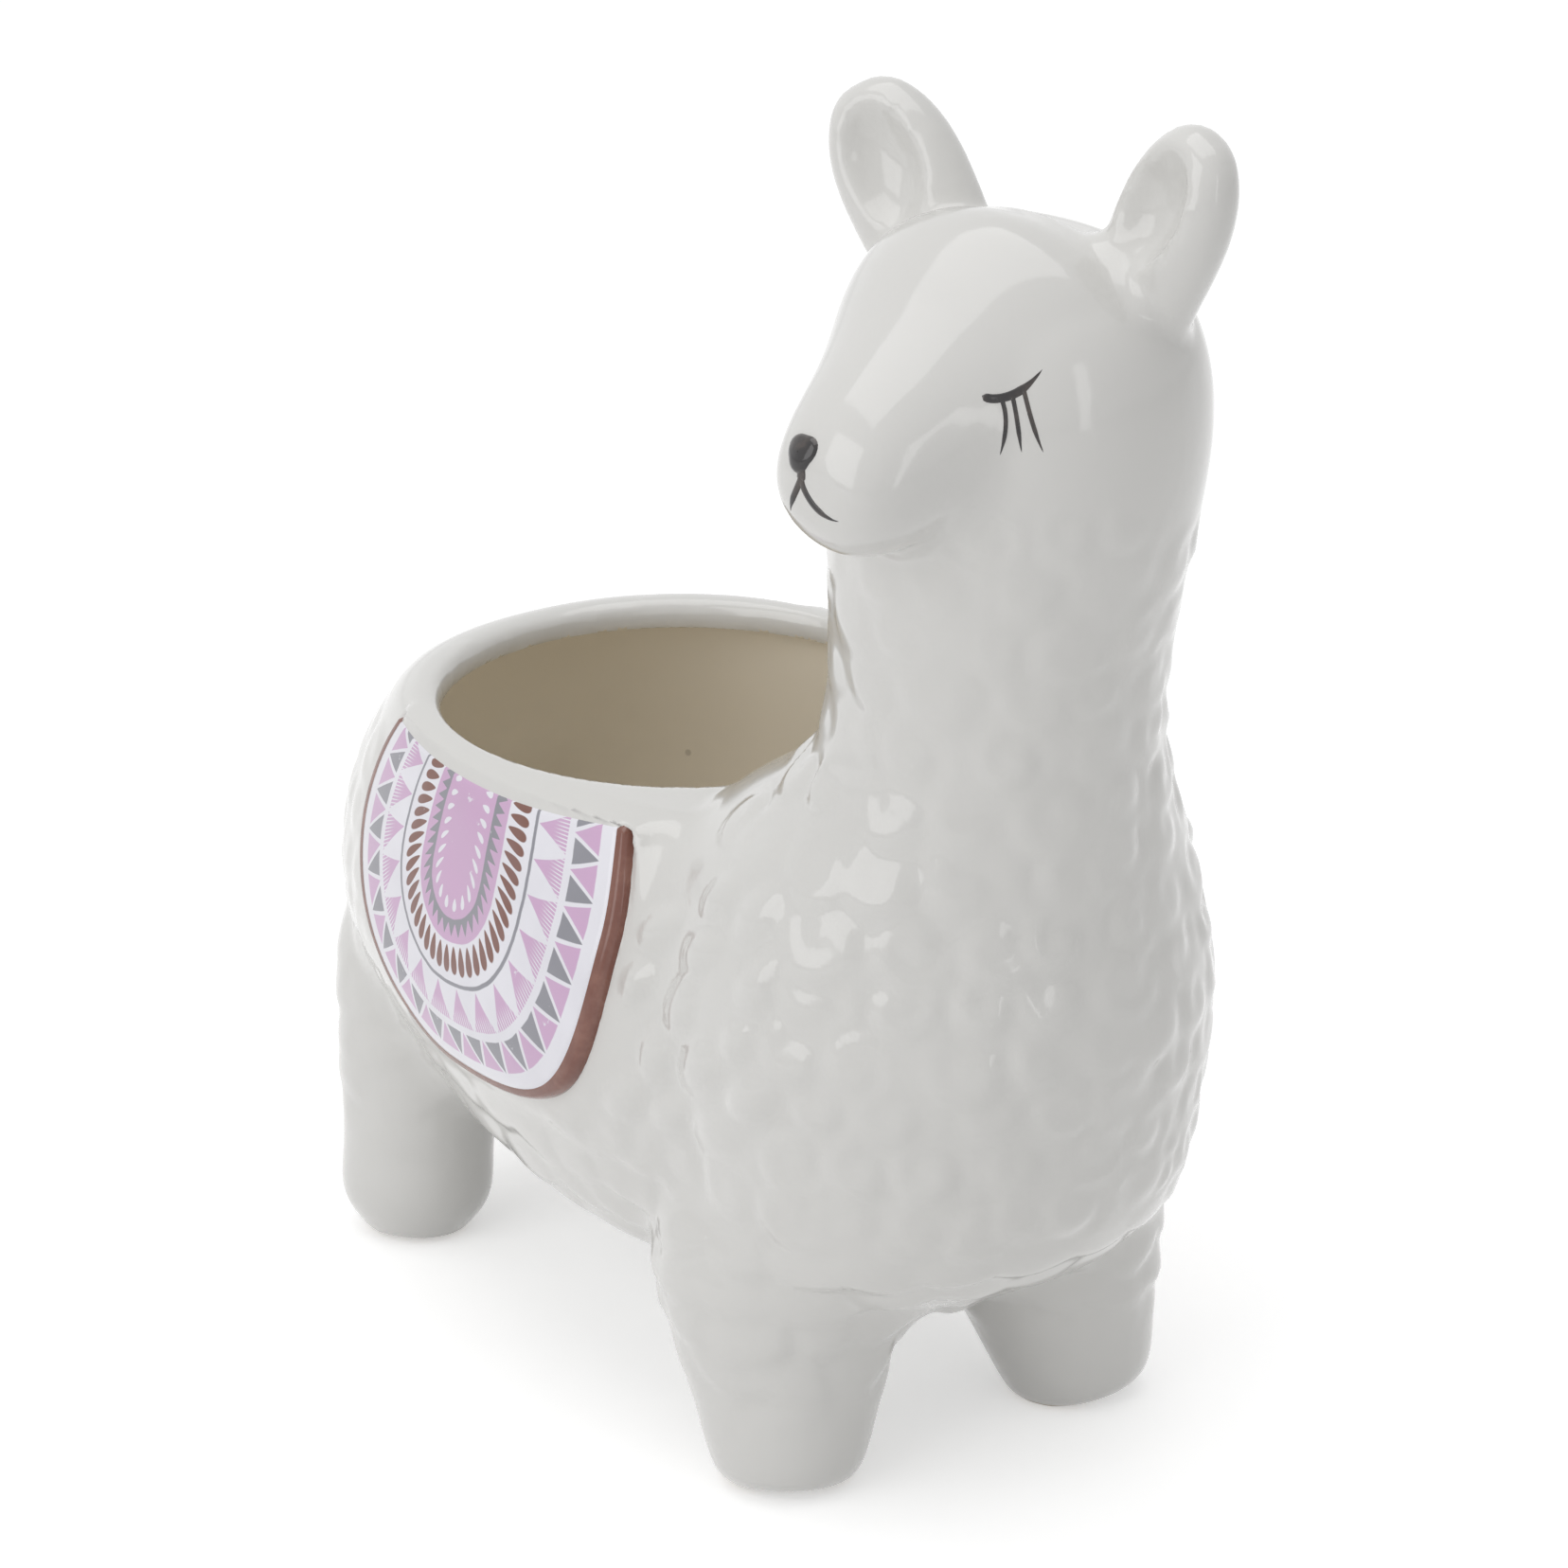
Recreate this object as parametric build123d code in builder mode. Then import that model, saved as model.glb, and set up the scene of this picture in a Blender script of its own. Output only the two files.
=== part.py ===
# Llama-shaped planter: a slip-cast, glazed bowl on four short legs, with a
# turned head, a raised saddle blanket on each flank and fired-on decoration.
#
# The llama faces -Y, its left side is +X and +Z is up. The origin lies on the
# floor under the middle of the whole planter. All sizes are in millimetres.

from build123d import *
import math
import os

os.makedirs("parts", exist_ok=True)

# Driving sizes of the casting
body_length = 147.0
body_width = 79.6
body_place = 0.4
belly_height = 18.6
rim_height = 80.6
rim_tilt = 0.8
widest_place = 20.0
skull_height = 160.0
wall = 4.2

# Opening in the back
opening_width = 60.6
opening_length = 63.4
opening_to_rump = 22.2
lip_depth = 4.6
lip_round = 1.6
floor_thickness = 5.5
cut_overrun = 6.0

# Neck and head
neck_centre = 46.0
neck_radius = 20.0
head_turn = 76.0
head_roll = 4.5
head_height = 143.8
head_centre_side = 1.9
head_centre_front = 48.0
skull_width = 41.4
skull_depth = 38.4
snout_reach = 37.0
snout_drop = 7.6

# Ears
ear_height = 22.6
ear_width = 15.4
ear_depth = 10.5
ear_spread = 29.6
ear_root = 8.0
ear_lean = 29.5
ear_turn_in = 19.0
ear_setback = 3.0
ear_hollow_width = 10.5
ear_hollow_length = 17.0
ear_hollow_depth = 4.4

# Legs
leg_track = 44.4
front_leg_place = 35.0
rear_leg_place = 50.8
foot_width = 22.0
foot_contact = 12.0
front_leg_reach = 46.0
front_leg_lean_back = 12.0
front_leg_lean_in = 7.4
rear_leg_reach = 52.0
rear_leg_lean_back = 5.0
rear_leg_lean_in = 7.0

# Raised blanket, its fired transfer and its brown border
blanket_width = 50.0
blanket_bottom = 40.4
blanket_top = 79.8
blanket_corner = 18.0
blanket_place = 11.6
blanket_relief = 1.3
border_width = 3.0
film = 0.25

# Enamel features on the face: nose patch, mouth and the closed lids
enamel_reach = 9.0
nose_width = 5.0
nose_height = 4.4
nose_rise = 3.4
mouth_width = 8.6
mouth_drop = 6.2
mouth_stroke = 0.9
lid_turn = 42.0
lid_rise = 4.0
lid_width = 7.6
lid_bow = 0.8
lash_length = 6.6
lash_row = 4.6
lash_tip_row = 6.4
lash_count = 3
lash_stroke = 0.7

# Place of the ear hollow's middle along the ear
ear_hollow_share = 0.58

# Points that describe each plan oval, and how square the ovals are
oval_points = 16
body_squareness = 2.15
neck_squareness = 2.0

# Torso stations from the belly up to the rim crest:
# height, half width, rump reach and chest reach
torso_shares = (
    (0, 0.49, 0.643, 0.27),
    (0.04, 0.62, 0.725, 0.37),
    (0.13, 0.75, 0.83, 0.515),
    (0.31, 0.895, 0.95, 0.66),
    (0.51, 0.985, 1, 0.71),
    (0.68, 0.955, 0.985, 0.71),
    (0.82, 0.905, 0.92, 0.67),
    (0.91, 0.864, 0.86, 0.58),
    (0.96, 0.845, 0.812, 0.5),
    (0.99, 0.825, 0.765, 0.42),
    (1, 0.805, 0.738, 0.36),
)

# Neck stations from inside the chest up to the crown:
# height over the skull height, half width, front and rear over the neck radius
neck_shares = (
    (0.12, 0.42, -0.28, 0.8),
    (0.145, 0.92, -0.02, 1.12),
    (0.174, 1.33, 0.37, 1.46),
    (0.22, 1.52, 0.74, 1.74),
    (0.3, 1.64, 0.925, 2.09),
    (0.38, 1.685, 1.02, 2.235),
    (0.45, 1.586, 0.983, 2.24),
    (0.5, 1.446, 0.942, 2),
    (0.54, 1.25, 0.928, 1.556),
    (0.58, 1.075, 0.932, 1.172),
    (0.63, 0.986, 0.955, 1.014),
    (0.69, 1.005, 1.02, 0.986),
    (0.76, 1.056, 1.152, 0.966),
    (0.83, 1.105, 1.262, 0.946),
    (0.9, 1.066, 1.262, 0.896),
    (0.955, 0.85, 1.085, 0.67),
    (0.988, 0.452, 0.74, 0.362),
    (1, 0.13, 0.36, 0.06),
)

# Hollow inside the chest, neck and skull, in the same terms: it stays well in
# front of the opening, so that the neck has a wall behind it
throat_shares = (
    (0.22, 1.08, 0.44, 1.25),
    (0.30, 1.34, 0.68, 1.30),
    (0.38, 1.42, 0.78, 1.30),
    (0.46, 1.32, 0.77, 1.26),
    (0.53, 1.06, 0.73, 1.10),
    (0.60, 0.80, 0.73, 0.86),
    (0.70, 0.79, 0.81, 0.77),
    (0.80, 0.87, 0.97, 0.74),
    (0.89, 0.85, 1.03, 0.68),
    (0.95, 0.60, 0.82, 0.44),
    (0.97, 0.38, 0.58, 0.22),
)

# Snout stations from the middle of the head to the tip:
# distance, half width, half height and drop
snout_shares = (
    (0, 0.985, 0.9, 0.03),
    (0.25, 0.946, 0.958, -0.03),
    (0.5, 0.715, 0.8, 0.265),
    (0.7, 0.552, 0.614, 0.597),
    (0.85, 0.455, 0.497, 0.838),
    (0.95, 0.345, 0.335, 0.93),
    (1, 0.155, 0.13, 0.94),
)

# Hollow of the bowl from its floor up to its ceiling under the lip:
# height over the shell, half width, rump reach and chest reach
hollow_shares = (
    (0, 0.44, 0.6, 0.14),
    (0.05, 0.6, 0.74, 0.27),
    (0.16, 0.735, 0.835, 0.42),
    (0.36, 0.83, 0.905, 0.54),
    (0.6, 0.87, 0.935, 0.58),
    (0.8, 0.845, 0.9, 0.54),
    (0.93, 0.82, 0.85, 0.46),
    (1, 0.8, 0.815, 0.4),
)

# Rounded lip of the opening: height over the lip's depth and flare over its rounding
mouth_shares = (
    (-0.20, 0.00),
    (0.55, 0.00),
    (0.85, 0.22),
    (1.00, 0.60),
    (1.20, 1.70),
    (1.60, 3.00),
    (2.40, 3.40),
)

# Ear stations from the root to the tip: distance and girth
ear_shares = (
    (0, 1.02),
    (0.3, 1.04),
    (0.58, 1.02),
    (0.78, 0.87),
    (0.92, 0.62),
    (1, 0.12),
)

# Leg profiles from the foot's edge up to the crest inside the body:
# height over the leg's reach and girth
front_leg_shares = (
    (0.03, 0.765),
    (0.1, 0.9),
    (0.2, 1.01),
    (0.34, 1.166),
    (0.5, 1.374),
    (0.68, 1.42),
    (0.86, 0.98),
)
rear_leg_shares = (
    (0.025, 0.66),
    (0.085, 0.85),
    (0.2, 0.89),
    (0.4, 0.96),
    (0.6, 1.02),
    (0.8, 0.99),
    (0.94, 0.66),
)

half_length = body_length / 2
half_width = body_width / 2
opening_centre = half_length - opening_to_rump - opening_length / 2
rim_slope = math.tan(math.radians(rim_tilt))
shell_height = rim_height - belly_height


def oval(plane, reach_side, front, rear, widest, squareness):
    """A closed plan outline on a plane: its width, two ends and widest place."""
    points = []
    for index in range(oval_points):
        turn = 2 * math.pi * index / oval_points
        across = math.copysign(abs(math.cos(turn)) ** (2 / squareness), math.cos(turn))
        along = abs(math.sin(turn)) ** (2 / squareness)
        end = rear if math.sin(turn) > 0 else front
        points.append((reach_side * across, widest + (end - widest) * along))
    with BuildSketch(plane) as section:
        with BuildLine():
            Spline(points, periodic=True)
        make_face()
    return section.sketch


def body_plane(height_share):
    """A plane across the body, level at the belly and tilted with the rim at the top."""
    height = belly_height + height_share * shell_height
    return Plane((0, body_place, height)).rotated((-rim_tilt * height_share, 0, 0))


def torso_sections(proud):
    """The torso's plan ovals, standing proud of the wool surface by a distance."""
    sections = []
    for height_share, side_share, rump_share, chest_share in torso_shares:
        sections.append(
            oval(
                body_plane(height_share),
                side_share * half_width + proud,
                -chest_share * half_length - proud,
                rump_share * half_length + proud,
                height_share * widest_place,
                body_squareness,
            )
        )
    return sections


def hollow_sections():
    """The plan ovals of the bowl's hollow, from its floor to the underside of the lip."""
    floor = belly_height + floor_thickness
    ceiling = rim_height - lip_depth
    sections = []
    for height_share, side_share, rump_share, chest_share in hollow_shares:
        sections.append(
            oval(
                Plane((0, body_place, floor + height_share * (ceiling - floor))),
                side_share * half_width,
                -chest_share * half_length,
                rump_share * half_length,
                height_share * widest_place,
                body_squareness,
            )
        )
    return sections


def mouth_sections():
    """The ellipses of the opening, flared over the lip but upright against the neck."""
    sections = []
    for height_share, flare_share in mouth_shares:
        height = rim_height - opening_centre * rim_slope - (1 - height_share) * lip_depth
        flare = flare_share * lip_round
        middle = body_place + opening_centre + flare / 2
        plane = Plane((0, middle, height)).rotated((-rim_tilt, 0, 0))
        with BuildSketch(plane) as section:
            Ellipse(opening_width / 2 + flare, (opening_length + flare) / 2)
        sections.append(section.sketch)
    return sections


def neck_sections(shares, proud):
    """Plan ovals of the chest, neck and skull, standing proud of the skin by a distance."""
    sections = []
    for height_share, side_share, front_share, rear_share in shares:
        front = -neck_centre - front_share * neck_radius - proud
        rear = -neck_centre + rear_share * neck_radius + proud
        sections.append(
            oval(
                Plane((0, body_place, height_share * (skull_height + proud))),
                side_share * neck_radius + proud,
                front,
                rear,
                (front + rear) / 2,
                neck_squareness,
            )
        )
    return sections


# Directions of the turned head: where it looks, its left side and its crown
turn = math.radians(head_turn)
roll = math.radians(head_roll)
gaze = Vector(-math.sin(turn), -math.cos(turn), 0)
level_side = Vector(math.cos(turn), -math.sin(turn), 0)
up = Vector(0, 0, 1)
left_side = level_side * math.cos(roll) + up * math.sin(roll)
crown = up * math.cos(roll) - level_side * math.sin(roll)
head_centre = Vector(head_centre_side, body_place - head_centre_front, head_height)


def head_plane(distance, drop):
    """A plane across the head, square to the gaze."""
    origin = head_centre + gaze * distance - up * drop
    return Plane(origin=origin, x_dir=left_side, z_dir=gaze)


def snout_sections(shares, proud):
    """Ovals across the head from its middle to the tip of the snout."""
    sections = []
    for reach_share, side_share, height_share, drop_share in shares:
        plane = head_plane(reach_share * (snout_reach + proud), drop_share * snout_drop)
        with BuildSketch(plane) as section:
            Ellipse(side_share * skull_width / 2 + proud, height_share * skull_depth / 2 + proud)
        sections.append(section.sketch)
    return sections


def leg(side, place, reach, lean_back, lean_in, shares):
    """One leg, turned about its leaning axis and cut flat at the floor."""
    way = Vector(
        -side * math.tan(math.radians(lean_in)),
        math.tan(math.radians(lean_back)),
        1,
    ).normalized()
    foot = Vector(side * leg_track / 2, body_place + place, 0)
    across = Vector(0, 1, 0).cross(way).normalized()
    axis_plane = Plane(origin=foot, x_dir=across, z_dir=across.cross(way))
    profile = [(foot_contact / 2, 0)]
    for height_share, girth_share in shares:
        profile.append((girth_share * foot_width / 2, height_share * reach))
    profile.append((0, reach))
    with BuildPart() as limb:
        with BuildSketch(axis_plane):
            with BuildLine():
                Spline(profile)
                Polyline((0, reach), (0, 0), (foot_contact / 2, 0))
            make_face()
        revolve(axis=Axis(foot, way))
    return limb.part


def ear_axis(side):
    """The plane at an ear's root: x runs out to the side, z runs up to the tip."""
    lean = math.radians(ear_lean)
    root = head_centre + left_side * (side * ear_spread / 2) + crown * ear_root - gaze * ear_setback
    tip_way = crown * math.cos(lean) + left_side * (side * math.sin(lean))
    across = left_side * math.cos(lean) - crown * (side * math.sin(lean))
    faced_in = math.radians(side * ear_turn_in)
    broad_way = across * math.cos(faced_in) + across.cross(tip_way) * math.sin(faced_in)
    return Plane(origin=root, x_dir=broad_way, z_dir=tip_way)


def ear(side):
    """One ear: a lofted, leaning lobe with a scooped hollow in its front face."""
    root = ear_axis(side)
    sections = []
    for reach_share, girth_share in ear_shares:
        with BuildSketch(root.offset(reach_share * ear_height)) as section:
            Ellipse(girth_share * ear_width / 2, girth_share * ear_depth / 2)
        sections.append(section.sketch)
    front_way = root.x_dir.cross(root.z_dir)
    scoop_centre = (
        root.origin
        + root.z_dir * (ear_height * ear_hollow_share)
        + front_way * (ear_depth / 2 + ear_hollow_width / 2 - ear_hollow_depth)
    )
    with BuildPart() as scoop:
        with BuildSketch(Plane(origin=scoop_centre, x_dir=root.x_dir, z_dir=-front_way)) as half:
            Ellipse(ear_hollow_width / 2, ear_hollow_length / 2)
            Rectangle(
                ear_hollow_width,
                ear_hollow_length,
                align=(Align.MAX, Align.CENTER),
                mode=Mode.SUBTRACT,
            )
        revolve(axis=Axis(scoop_centre, root.z_dir))
    with BuildPart() as lobe:
        loft(sections=sections)
        add(scoop.part, mode=Mode.SUBTRACT)
    return lobe.part


def flap_prism(side, inset):
    """A prism through one flank with the blanket's U outline, drawn in from its edge."""
    plane = Plane(
        origin=(0, body_place + blanket_place, blanket_bottom + blanket_corner),
        x_dir=(0, side, 0),
        z_dir=(side, 0, 0),
    )
    straight = blanket_top - blanket_bottom - blanket_corner
    flap_width = blanket_width - 2 * inset
    with BuildPart() as prism:
        with BuildSketch(plane):
            Ellipse(flap_width / 2, blanket_corner - inset)
            Rectangle(flap_width, blanket_corner, align=(Align.CENTER, Align.MIN), mode=Mode.SUBTRACT)
            Rectangle(flap_width, straight, align=(Align.CENTER, Align.MIN))
        extrude(amount=half_width + cut_overrun)
    return prism.part


# Outer skin of the body, neck and head
with BuildPart() as torso:
    loft(sections=torso_sections(0))

with BuildPart() as neck:
    loft(sections=neck_sections(neck_shares, 0))

with BuildPart() as snout:
    loft(sections=snout_sections(snout_shares, 0))

# The same skins a relief or a film further out, for what lies on them
with BuildPart() as padded_skin:
    loft(sections=torso_sections(blanket_relief))
    loft(sections=neck_sections(neck_shares, blanket_relief))

with BuildPart() as filmed_skin:
    loft(sections=torso_sections(blanket_relief + film))
    loft(sections=neck_sections(neck_shares, blanket_relief + film))

with BuildPart() as filmed_head:
    loft(sections=neck_sections(neck_shares, film))
    loft(sections=snout_sections(snout_shares, film))

# Hollow bowl with its lip, and the hollow neck and head that drain into it
inner_snout_shares = snout_shares[:-2]

with BuildPart() as hollow:
    loft(sections=hollow_sections())
    loft(sections=mouth_sections())
    loft(sections=neck_sections(throat_shares, 0))
    loft(sections=snout_sections(inner_snout_shares, -wall))

# The one-piece casting: skins, legs, ears and raised blankets, less the hollow
limbs = []
pads = []
for hand in (-1, 1):
    limbs.append(
        leg(hand, -front_leg_place, front_leg_reach, front_leg_lean_back, front_leg_lean_in, front_leg_shares)
    )
    limbs.append(
        leg(hand, rear_leg_place, rear_leg_reach, rear_leg_lean_back, rear_leg_lean_in, rear_leg_shares)
    )
    limbs.append(ear(hand))
    with BuildPart() as pad:
        add(padded_skin.part)
        add(flap_prism(hand, 0), mode=Mode.INTERSECT)
    pads.append(pad.part)

with BuildPart() as planter_casting:
    add(torso.part)
    add(neck.part)
    add(snout.part)
    add(limbs)
    add(pads)
    split(bisect_by=Plane.XY, keep=Keep.TOP)
    add(hollow.part, mode=Mode.SUBTRACT)

planter_casting.part.label = "planter_casting"
export_step(planter_casting.part, "parts/planter_casting.step")


# Fired transfer and brown border on each raised blanket
for hand, name in ((-1, "right"), (1, "left")):
    with BuildPart() as transfer:
        add(filmed_skin.part)
        add(flap_prism(hand, border_width), mode=Mode.INTERSECT)
        add(padded_skin.part, mode=Mode.SUBTRACT)
    transfer.part.label = "blanket_transfer_" + name
    export_step(transfer.part, "parts/blanket_transfer_" + name + ".step")

    with BuildPart() as border:
        add(filmed_skin.part)
        add(flap_prism(hand, 0), mode=Mode.INTERSECT)
        add(flap_prism(hand, border_width), mode=Mode.SUBTRACT)
        add(padded_skin.part, mode=Mode.SUBTRACT)
    border.part.label = "blanket_border_" + name
    export_step(border.part, "parts/blanket_border_" + name + ".step")


def enamel(prism):
    """A film of enamel on the face where a prism meets the skin."""
    with BuildPart() as coat:
        add(filmed_head.part)
        add(prism, mode=Mode.INTERSECT)
        add(neck.part, mode=Mode.SUBTRACT)
        add(snout.part, mode=Mode.SUBTRACT)
    return coat.part


# Black nose patch on the tip of the snout
muzzle_plane = head_plane(snout_reach, snout_drop - nose_rise)
with BuildPart() as nose_prism:
    with BuildSketch(muzzle_plane):
        Ellipse(nose_width / 2, nose_height / 2)
    extrude(amount=enamel_reach, both=True)

# Mouth: a short stem under the nose that parts into two curved strokes
stem_top = -nose_height / 2 - mouth_stroke
stem_end = -nose_height / 2 - mouth_drop / 4
corner_bend = -nose_height / 2 - mouth_drop * 3 / 4
corner_end = -nose_height / 2 - mouth_drop
with BuildPart() as mouth_prism:
    with BuildSketch(muzzle_plane):
        with BuildLine():
            Line((0, stem_top), (0, stem_end))
        trace(line_width=mouth_stroke)
        for hand in (-1, 1):
            with BuildLine():
                Spline(
                    (0, stem_end),
                    (hand * mouth_width / 5, corner_bend),
                    (hand * mouth_width / 2, corner_end),
                )
            trace(line_width=mouth_stroke)
    extrude(amount=enamel_reach, both=True)


def lash_prism(hand):
    """Strokes of one closed eye: the bowed lid and the lashes that hang from it."""
    swing = math.radians(hand * lid_turn)
    look = gaze * math.cos(swing) + left_side * math.sin(swing)
    origin = head_centre + up * lid_rise + look * (skull_width / 2)
    plane = Plane(origin=origin, x_dir=up.cross(look), z_dir=look)
    with BuildPart() as prism:
        with BuildSketch(plane):
            with BuildLine():
                ThreePointArc((-lid_width / 2, 0), (0, -lid_bow), (lid_width / 2, 0))
            trace(line_width=lash_stroke)
            for index in range(lash_count):
                share = index / (lash_count - 1) - 1 / 2
                with BuildLine():
                    Line((share * lash_row, -lid_bow / 2), (share * lash_tip_row, -lash_length))
                trace(line_width=lash_stroke)
        extrude(amount=enamel_reach, both=True)
    return prism.part


enamels = {
    "nose_enamel": nose_prism.part,
    "mouth_enamel": mouth_prism.part,
    "lashes_right": lash_prism(-1),
    "lashes_left": lash_prism(1),
}
for name, prism in enamels.items():
    coat = enamel(prism)
    coat.label = name
    export_step(coat, "parts/" + name + ".step")
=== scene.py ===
"""Glazed llama planter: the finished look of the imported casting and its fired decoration.

Makers' sizes are millimetres and the meshes are metres, both in the casting's frame: the llama's
chest faces -Y, its left side is +X and +Z is up. The head is turned to the llama's right.
"""

import logging
import math
from dataclasses import dataclass
from enum import Enum

import bmesh
import bpy
import numpy as np
from mathutils import Matrix, Vector
from mathutils.bvhtree import BVHTree


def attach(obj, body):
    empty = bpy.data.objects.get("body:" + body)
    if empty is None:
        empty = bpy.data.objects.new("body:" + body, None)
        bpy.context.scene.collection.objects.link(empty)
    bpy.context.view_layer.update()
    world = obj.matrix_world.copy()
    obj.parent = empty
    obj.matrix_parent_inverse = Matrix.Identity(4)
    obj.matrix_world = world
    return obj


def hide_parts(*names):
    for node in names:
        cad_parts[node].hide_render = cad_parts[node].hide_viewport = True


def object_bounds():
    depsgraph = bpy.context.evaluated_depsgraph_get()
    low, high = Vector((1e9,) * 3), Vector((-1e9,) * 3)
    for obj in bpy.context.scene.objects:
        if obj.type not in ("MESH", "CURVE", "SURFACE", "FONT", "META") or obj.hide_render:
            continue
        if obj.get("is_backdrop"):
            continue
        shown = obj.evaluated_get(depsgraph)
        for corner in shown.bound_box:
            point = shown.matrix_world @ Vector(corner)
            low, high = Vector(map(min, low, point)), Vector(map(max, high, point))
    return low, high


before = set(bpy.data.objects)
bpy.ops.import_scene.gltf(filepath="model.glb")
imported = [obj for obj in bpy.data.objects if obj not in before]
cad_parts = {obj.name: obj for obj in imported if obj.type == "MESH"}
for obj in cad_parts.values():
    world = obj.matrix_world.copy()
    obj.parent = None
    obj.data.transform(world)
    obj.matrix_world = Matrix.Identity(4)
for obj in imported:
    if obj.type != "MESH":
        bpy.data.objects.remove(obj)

Array = np.ndarray
Chip = tuple[float, float, float]
Pixel = tuple[float, float]
LOG = logging.getLogger("llama_planter")
MM = 0.001
WELD = 0.002
PHOTO_PIXELS = 1656
SENSOR_WIDTH = 36.0


class Side(Enum):
    """A flank of the llama, by the sign of its X."""

    RIGHT = -1
    LEFT = 1


def smooth_step(low: Array | float, high: Array | float, value: Array) -> Array:
    """Eased ramp: 0 up to low, 1 from high on, 3t^2 - 2t^3 between them.

    Args:
        low: value at which the ramp leaves 0.
        high: value at which it reaches 1; it may be below low for a falling ramp.
        value: numbers to map.

    Returns:
        The eased numbers.
    """
    t = np.clip((value - low) / (high - low), 0, 1)
    return t * t * (3 - 2 * t)


@dataclass(frozen=True)
class Ramp:
    """An eased ramp kept as a size: 0 at low and 1 at high, or falling where high is below low."""

    low: float
    high: float

    def __call__(self, value: Array) -> Array:
        """The ramp's height at some values."""
        return smooth_step(self.low, self.high, value)


def unit(vectors: Array) -> Array:
    """Rows scaled to length one."""
    return vectors / np.maximum(np.linalg.norm(vectors, axis=-1, keepdims=True), 1e-9)


def grid_faces(rows: int, columns: int, closed: bool) -> Array:
    """Quads of a grid of points, row after row: corner (i, j) with its next row and next column.

    Args:
        rows: number of rows of points.
        columns: number of points in each row.
        closed: whether the last column joins the first.

    Returns:
        Indices of the corners, four to a quad.
    """
    steps = columns if closed else columns - 1
    i, j = np.meshgrid(np.arange(rows - 1), np.arange(steps), indexing="ij")
    k = (j + 1) % columns
    corners = [i * columns + j, i * columns + k, (i + 1) * columns + k, (i + 1) * columns + j]
    return np.stack(corners, -1).reshape(-1, 4)


def put_piece(
    name: str, points: Array, faces: Array | list[list[int]], uv: Array | None = None
) -> bpy.types.Object:
    """Makes a smooth-shaded object at the origin from points in millimetres.

    Args:
        name: the piece's name.
        points: its points, in millimetres.
        faces: its corner indices, one face to a row.
        uv: one texture place for each point, where the finish needs it.

    Returns:
        The object, linked to the scene.
    """
    mesh = bpy.data.meshes.new(name)
    mesh.from_pydata((points * MM).tolist(), [], faces.tolist() if isinstance(faces, Array) else faces)
    if uv is not None:
        layer = mesh.uv_layers.new(name="place")
        layer.data.foreach_set("uv", uv[faces.reshape(-1)].astype(np.float32).ravel())
    mesh.polygons.foreach_set("use_smooth", np.ones(len(mesh.polygons), bool))
    mesh.update()
    made = bpy.data.objects.new(name, mesh)
    bpy.context.scene.collection.objects.link(made)
    return made


def weld(mesh: bpy.types.Mesh, face_outwards: bool = False) -> None:
    """Merges doubled points, and turns a closed piece's faces outwards where that is asked.

    Args:
        mesh: the mesh to weld.
        face_outwards: whether its faces are turned.
    """
    work = bmesh.new()
    work.from_mesh(mesh)
    bmesh.ops.remove_doubles(work, verts=work.verts, dist=WELD * MM)
    if face_outwards:
        bmesh.ops.recalc_face_normals(work, faces=work.faces)
    work.to_mesh(mesh)
    work.free()


def hand_over(piece: bpy.types.Object, finish: bpy.types.Material, slot: str, *nodes: str) -> None:
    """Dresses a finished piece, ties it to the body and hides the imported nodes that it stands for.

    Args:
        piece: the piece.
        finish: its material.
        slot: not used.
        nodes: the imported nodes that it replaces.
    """
    piece.data.materials.append(finish)
    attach(piece, "root")
    if nodes:
        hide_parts(*nodes)
    LOG.info("%s: %d faces", piece.name, len(piece.data.polygons))


# ---------------------------------------------------------------- viewpoint


@dataclass(frozen=True)
class Viewpoint:
    """The photograph's camera: where it stands round the llama and what it looks at."""

    turn: float = 34.5
    rise: float = 22.5
    distance: float = 882.0
    focal_pixels: float = 7700.0
    target: tuple[float, float, float] = (-6.1, -10.2, 79.4)
    clip: tuple[float, float] = (0.05, 20.0)

    def axes(self) -> tuple[Array, Array, Array]:
        """Works out the camera's own directions.

        Returns:
            Directions to the right, up and back towards the camera.
        """
        turn, rise = math.radians(self.turn), math.radians(self.rise)
        level = math.cos(rise)
        back = np.array([-math.sin(turn) * level, -math.cos(turn) * level, math.sin(rise)])
        right = np.array([math.cos(turn), -math.sin(turn), 0.0])
        return right, np.cross(back, right), back

    def place(self) -> Array:
        """The camera's place in millimetres."""
        return np.array(self.target) + self.distance * self.axes()[2]

    def ray(self, pixel: Pixel) -> Array:
        """Direction from the camera through a pixel of the photograph.

        Args:
            pixel: column and row in the photograph.

        Returns:
            A unit direction.
        """
        right, up, back = self.axes()
        across = (pixel[0] - PHOTO_PIXELS / 2) / self.focal_pixels
        above = (PHOTO_PIXELS / 2 - pixel[1]) / self.focal_pixels
        return unit(right * across + up * above - back)

    def build(self) -> None:
        """Makes the camera and sets it as the scene's."""
        data = bpy.data.cameras.new("photo_camera")
        data.sensor_fit = "HORIZONTAL"
        data.sensor_width = SENSOR_WIDTH
        data.lens = SENSOR_WIDTH * self.focal_pixels / PHOTO_PIXELS
        data.clip_start, data.clip_end = self.clip
        made = bpy.data.objects.new("photo_camera", data)
        turned = np.eye(4)
        turned[:3, :3] = np.stack(self.axes(), 1)
        turned[:3, 3] = self.place() * MM
        made.matrix_world = Matrix(turned.tolist())
        bpy.context.scene.collection.objects.link(made)
        bpy.context.scene.camera = made


# ---------------------------------------------------------------- node wiring


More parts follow.
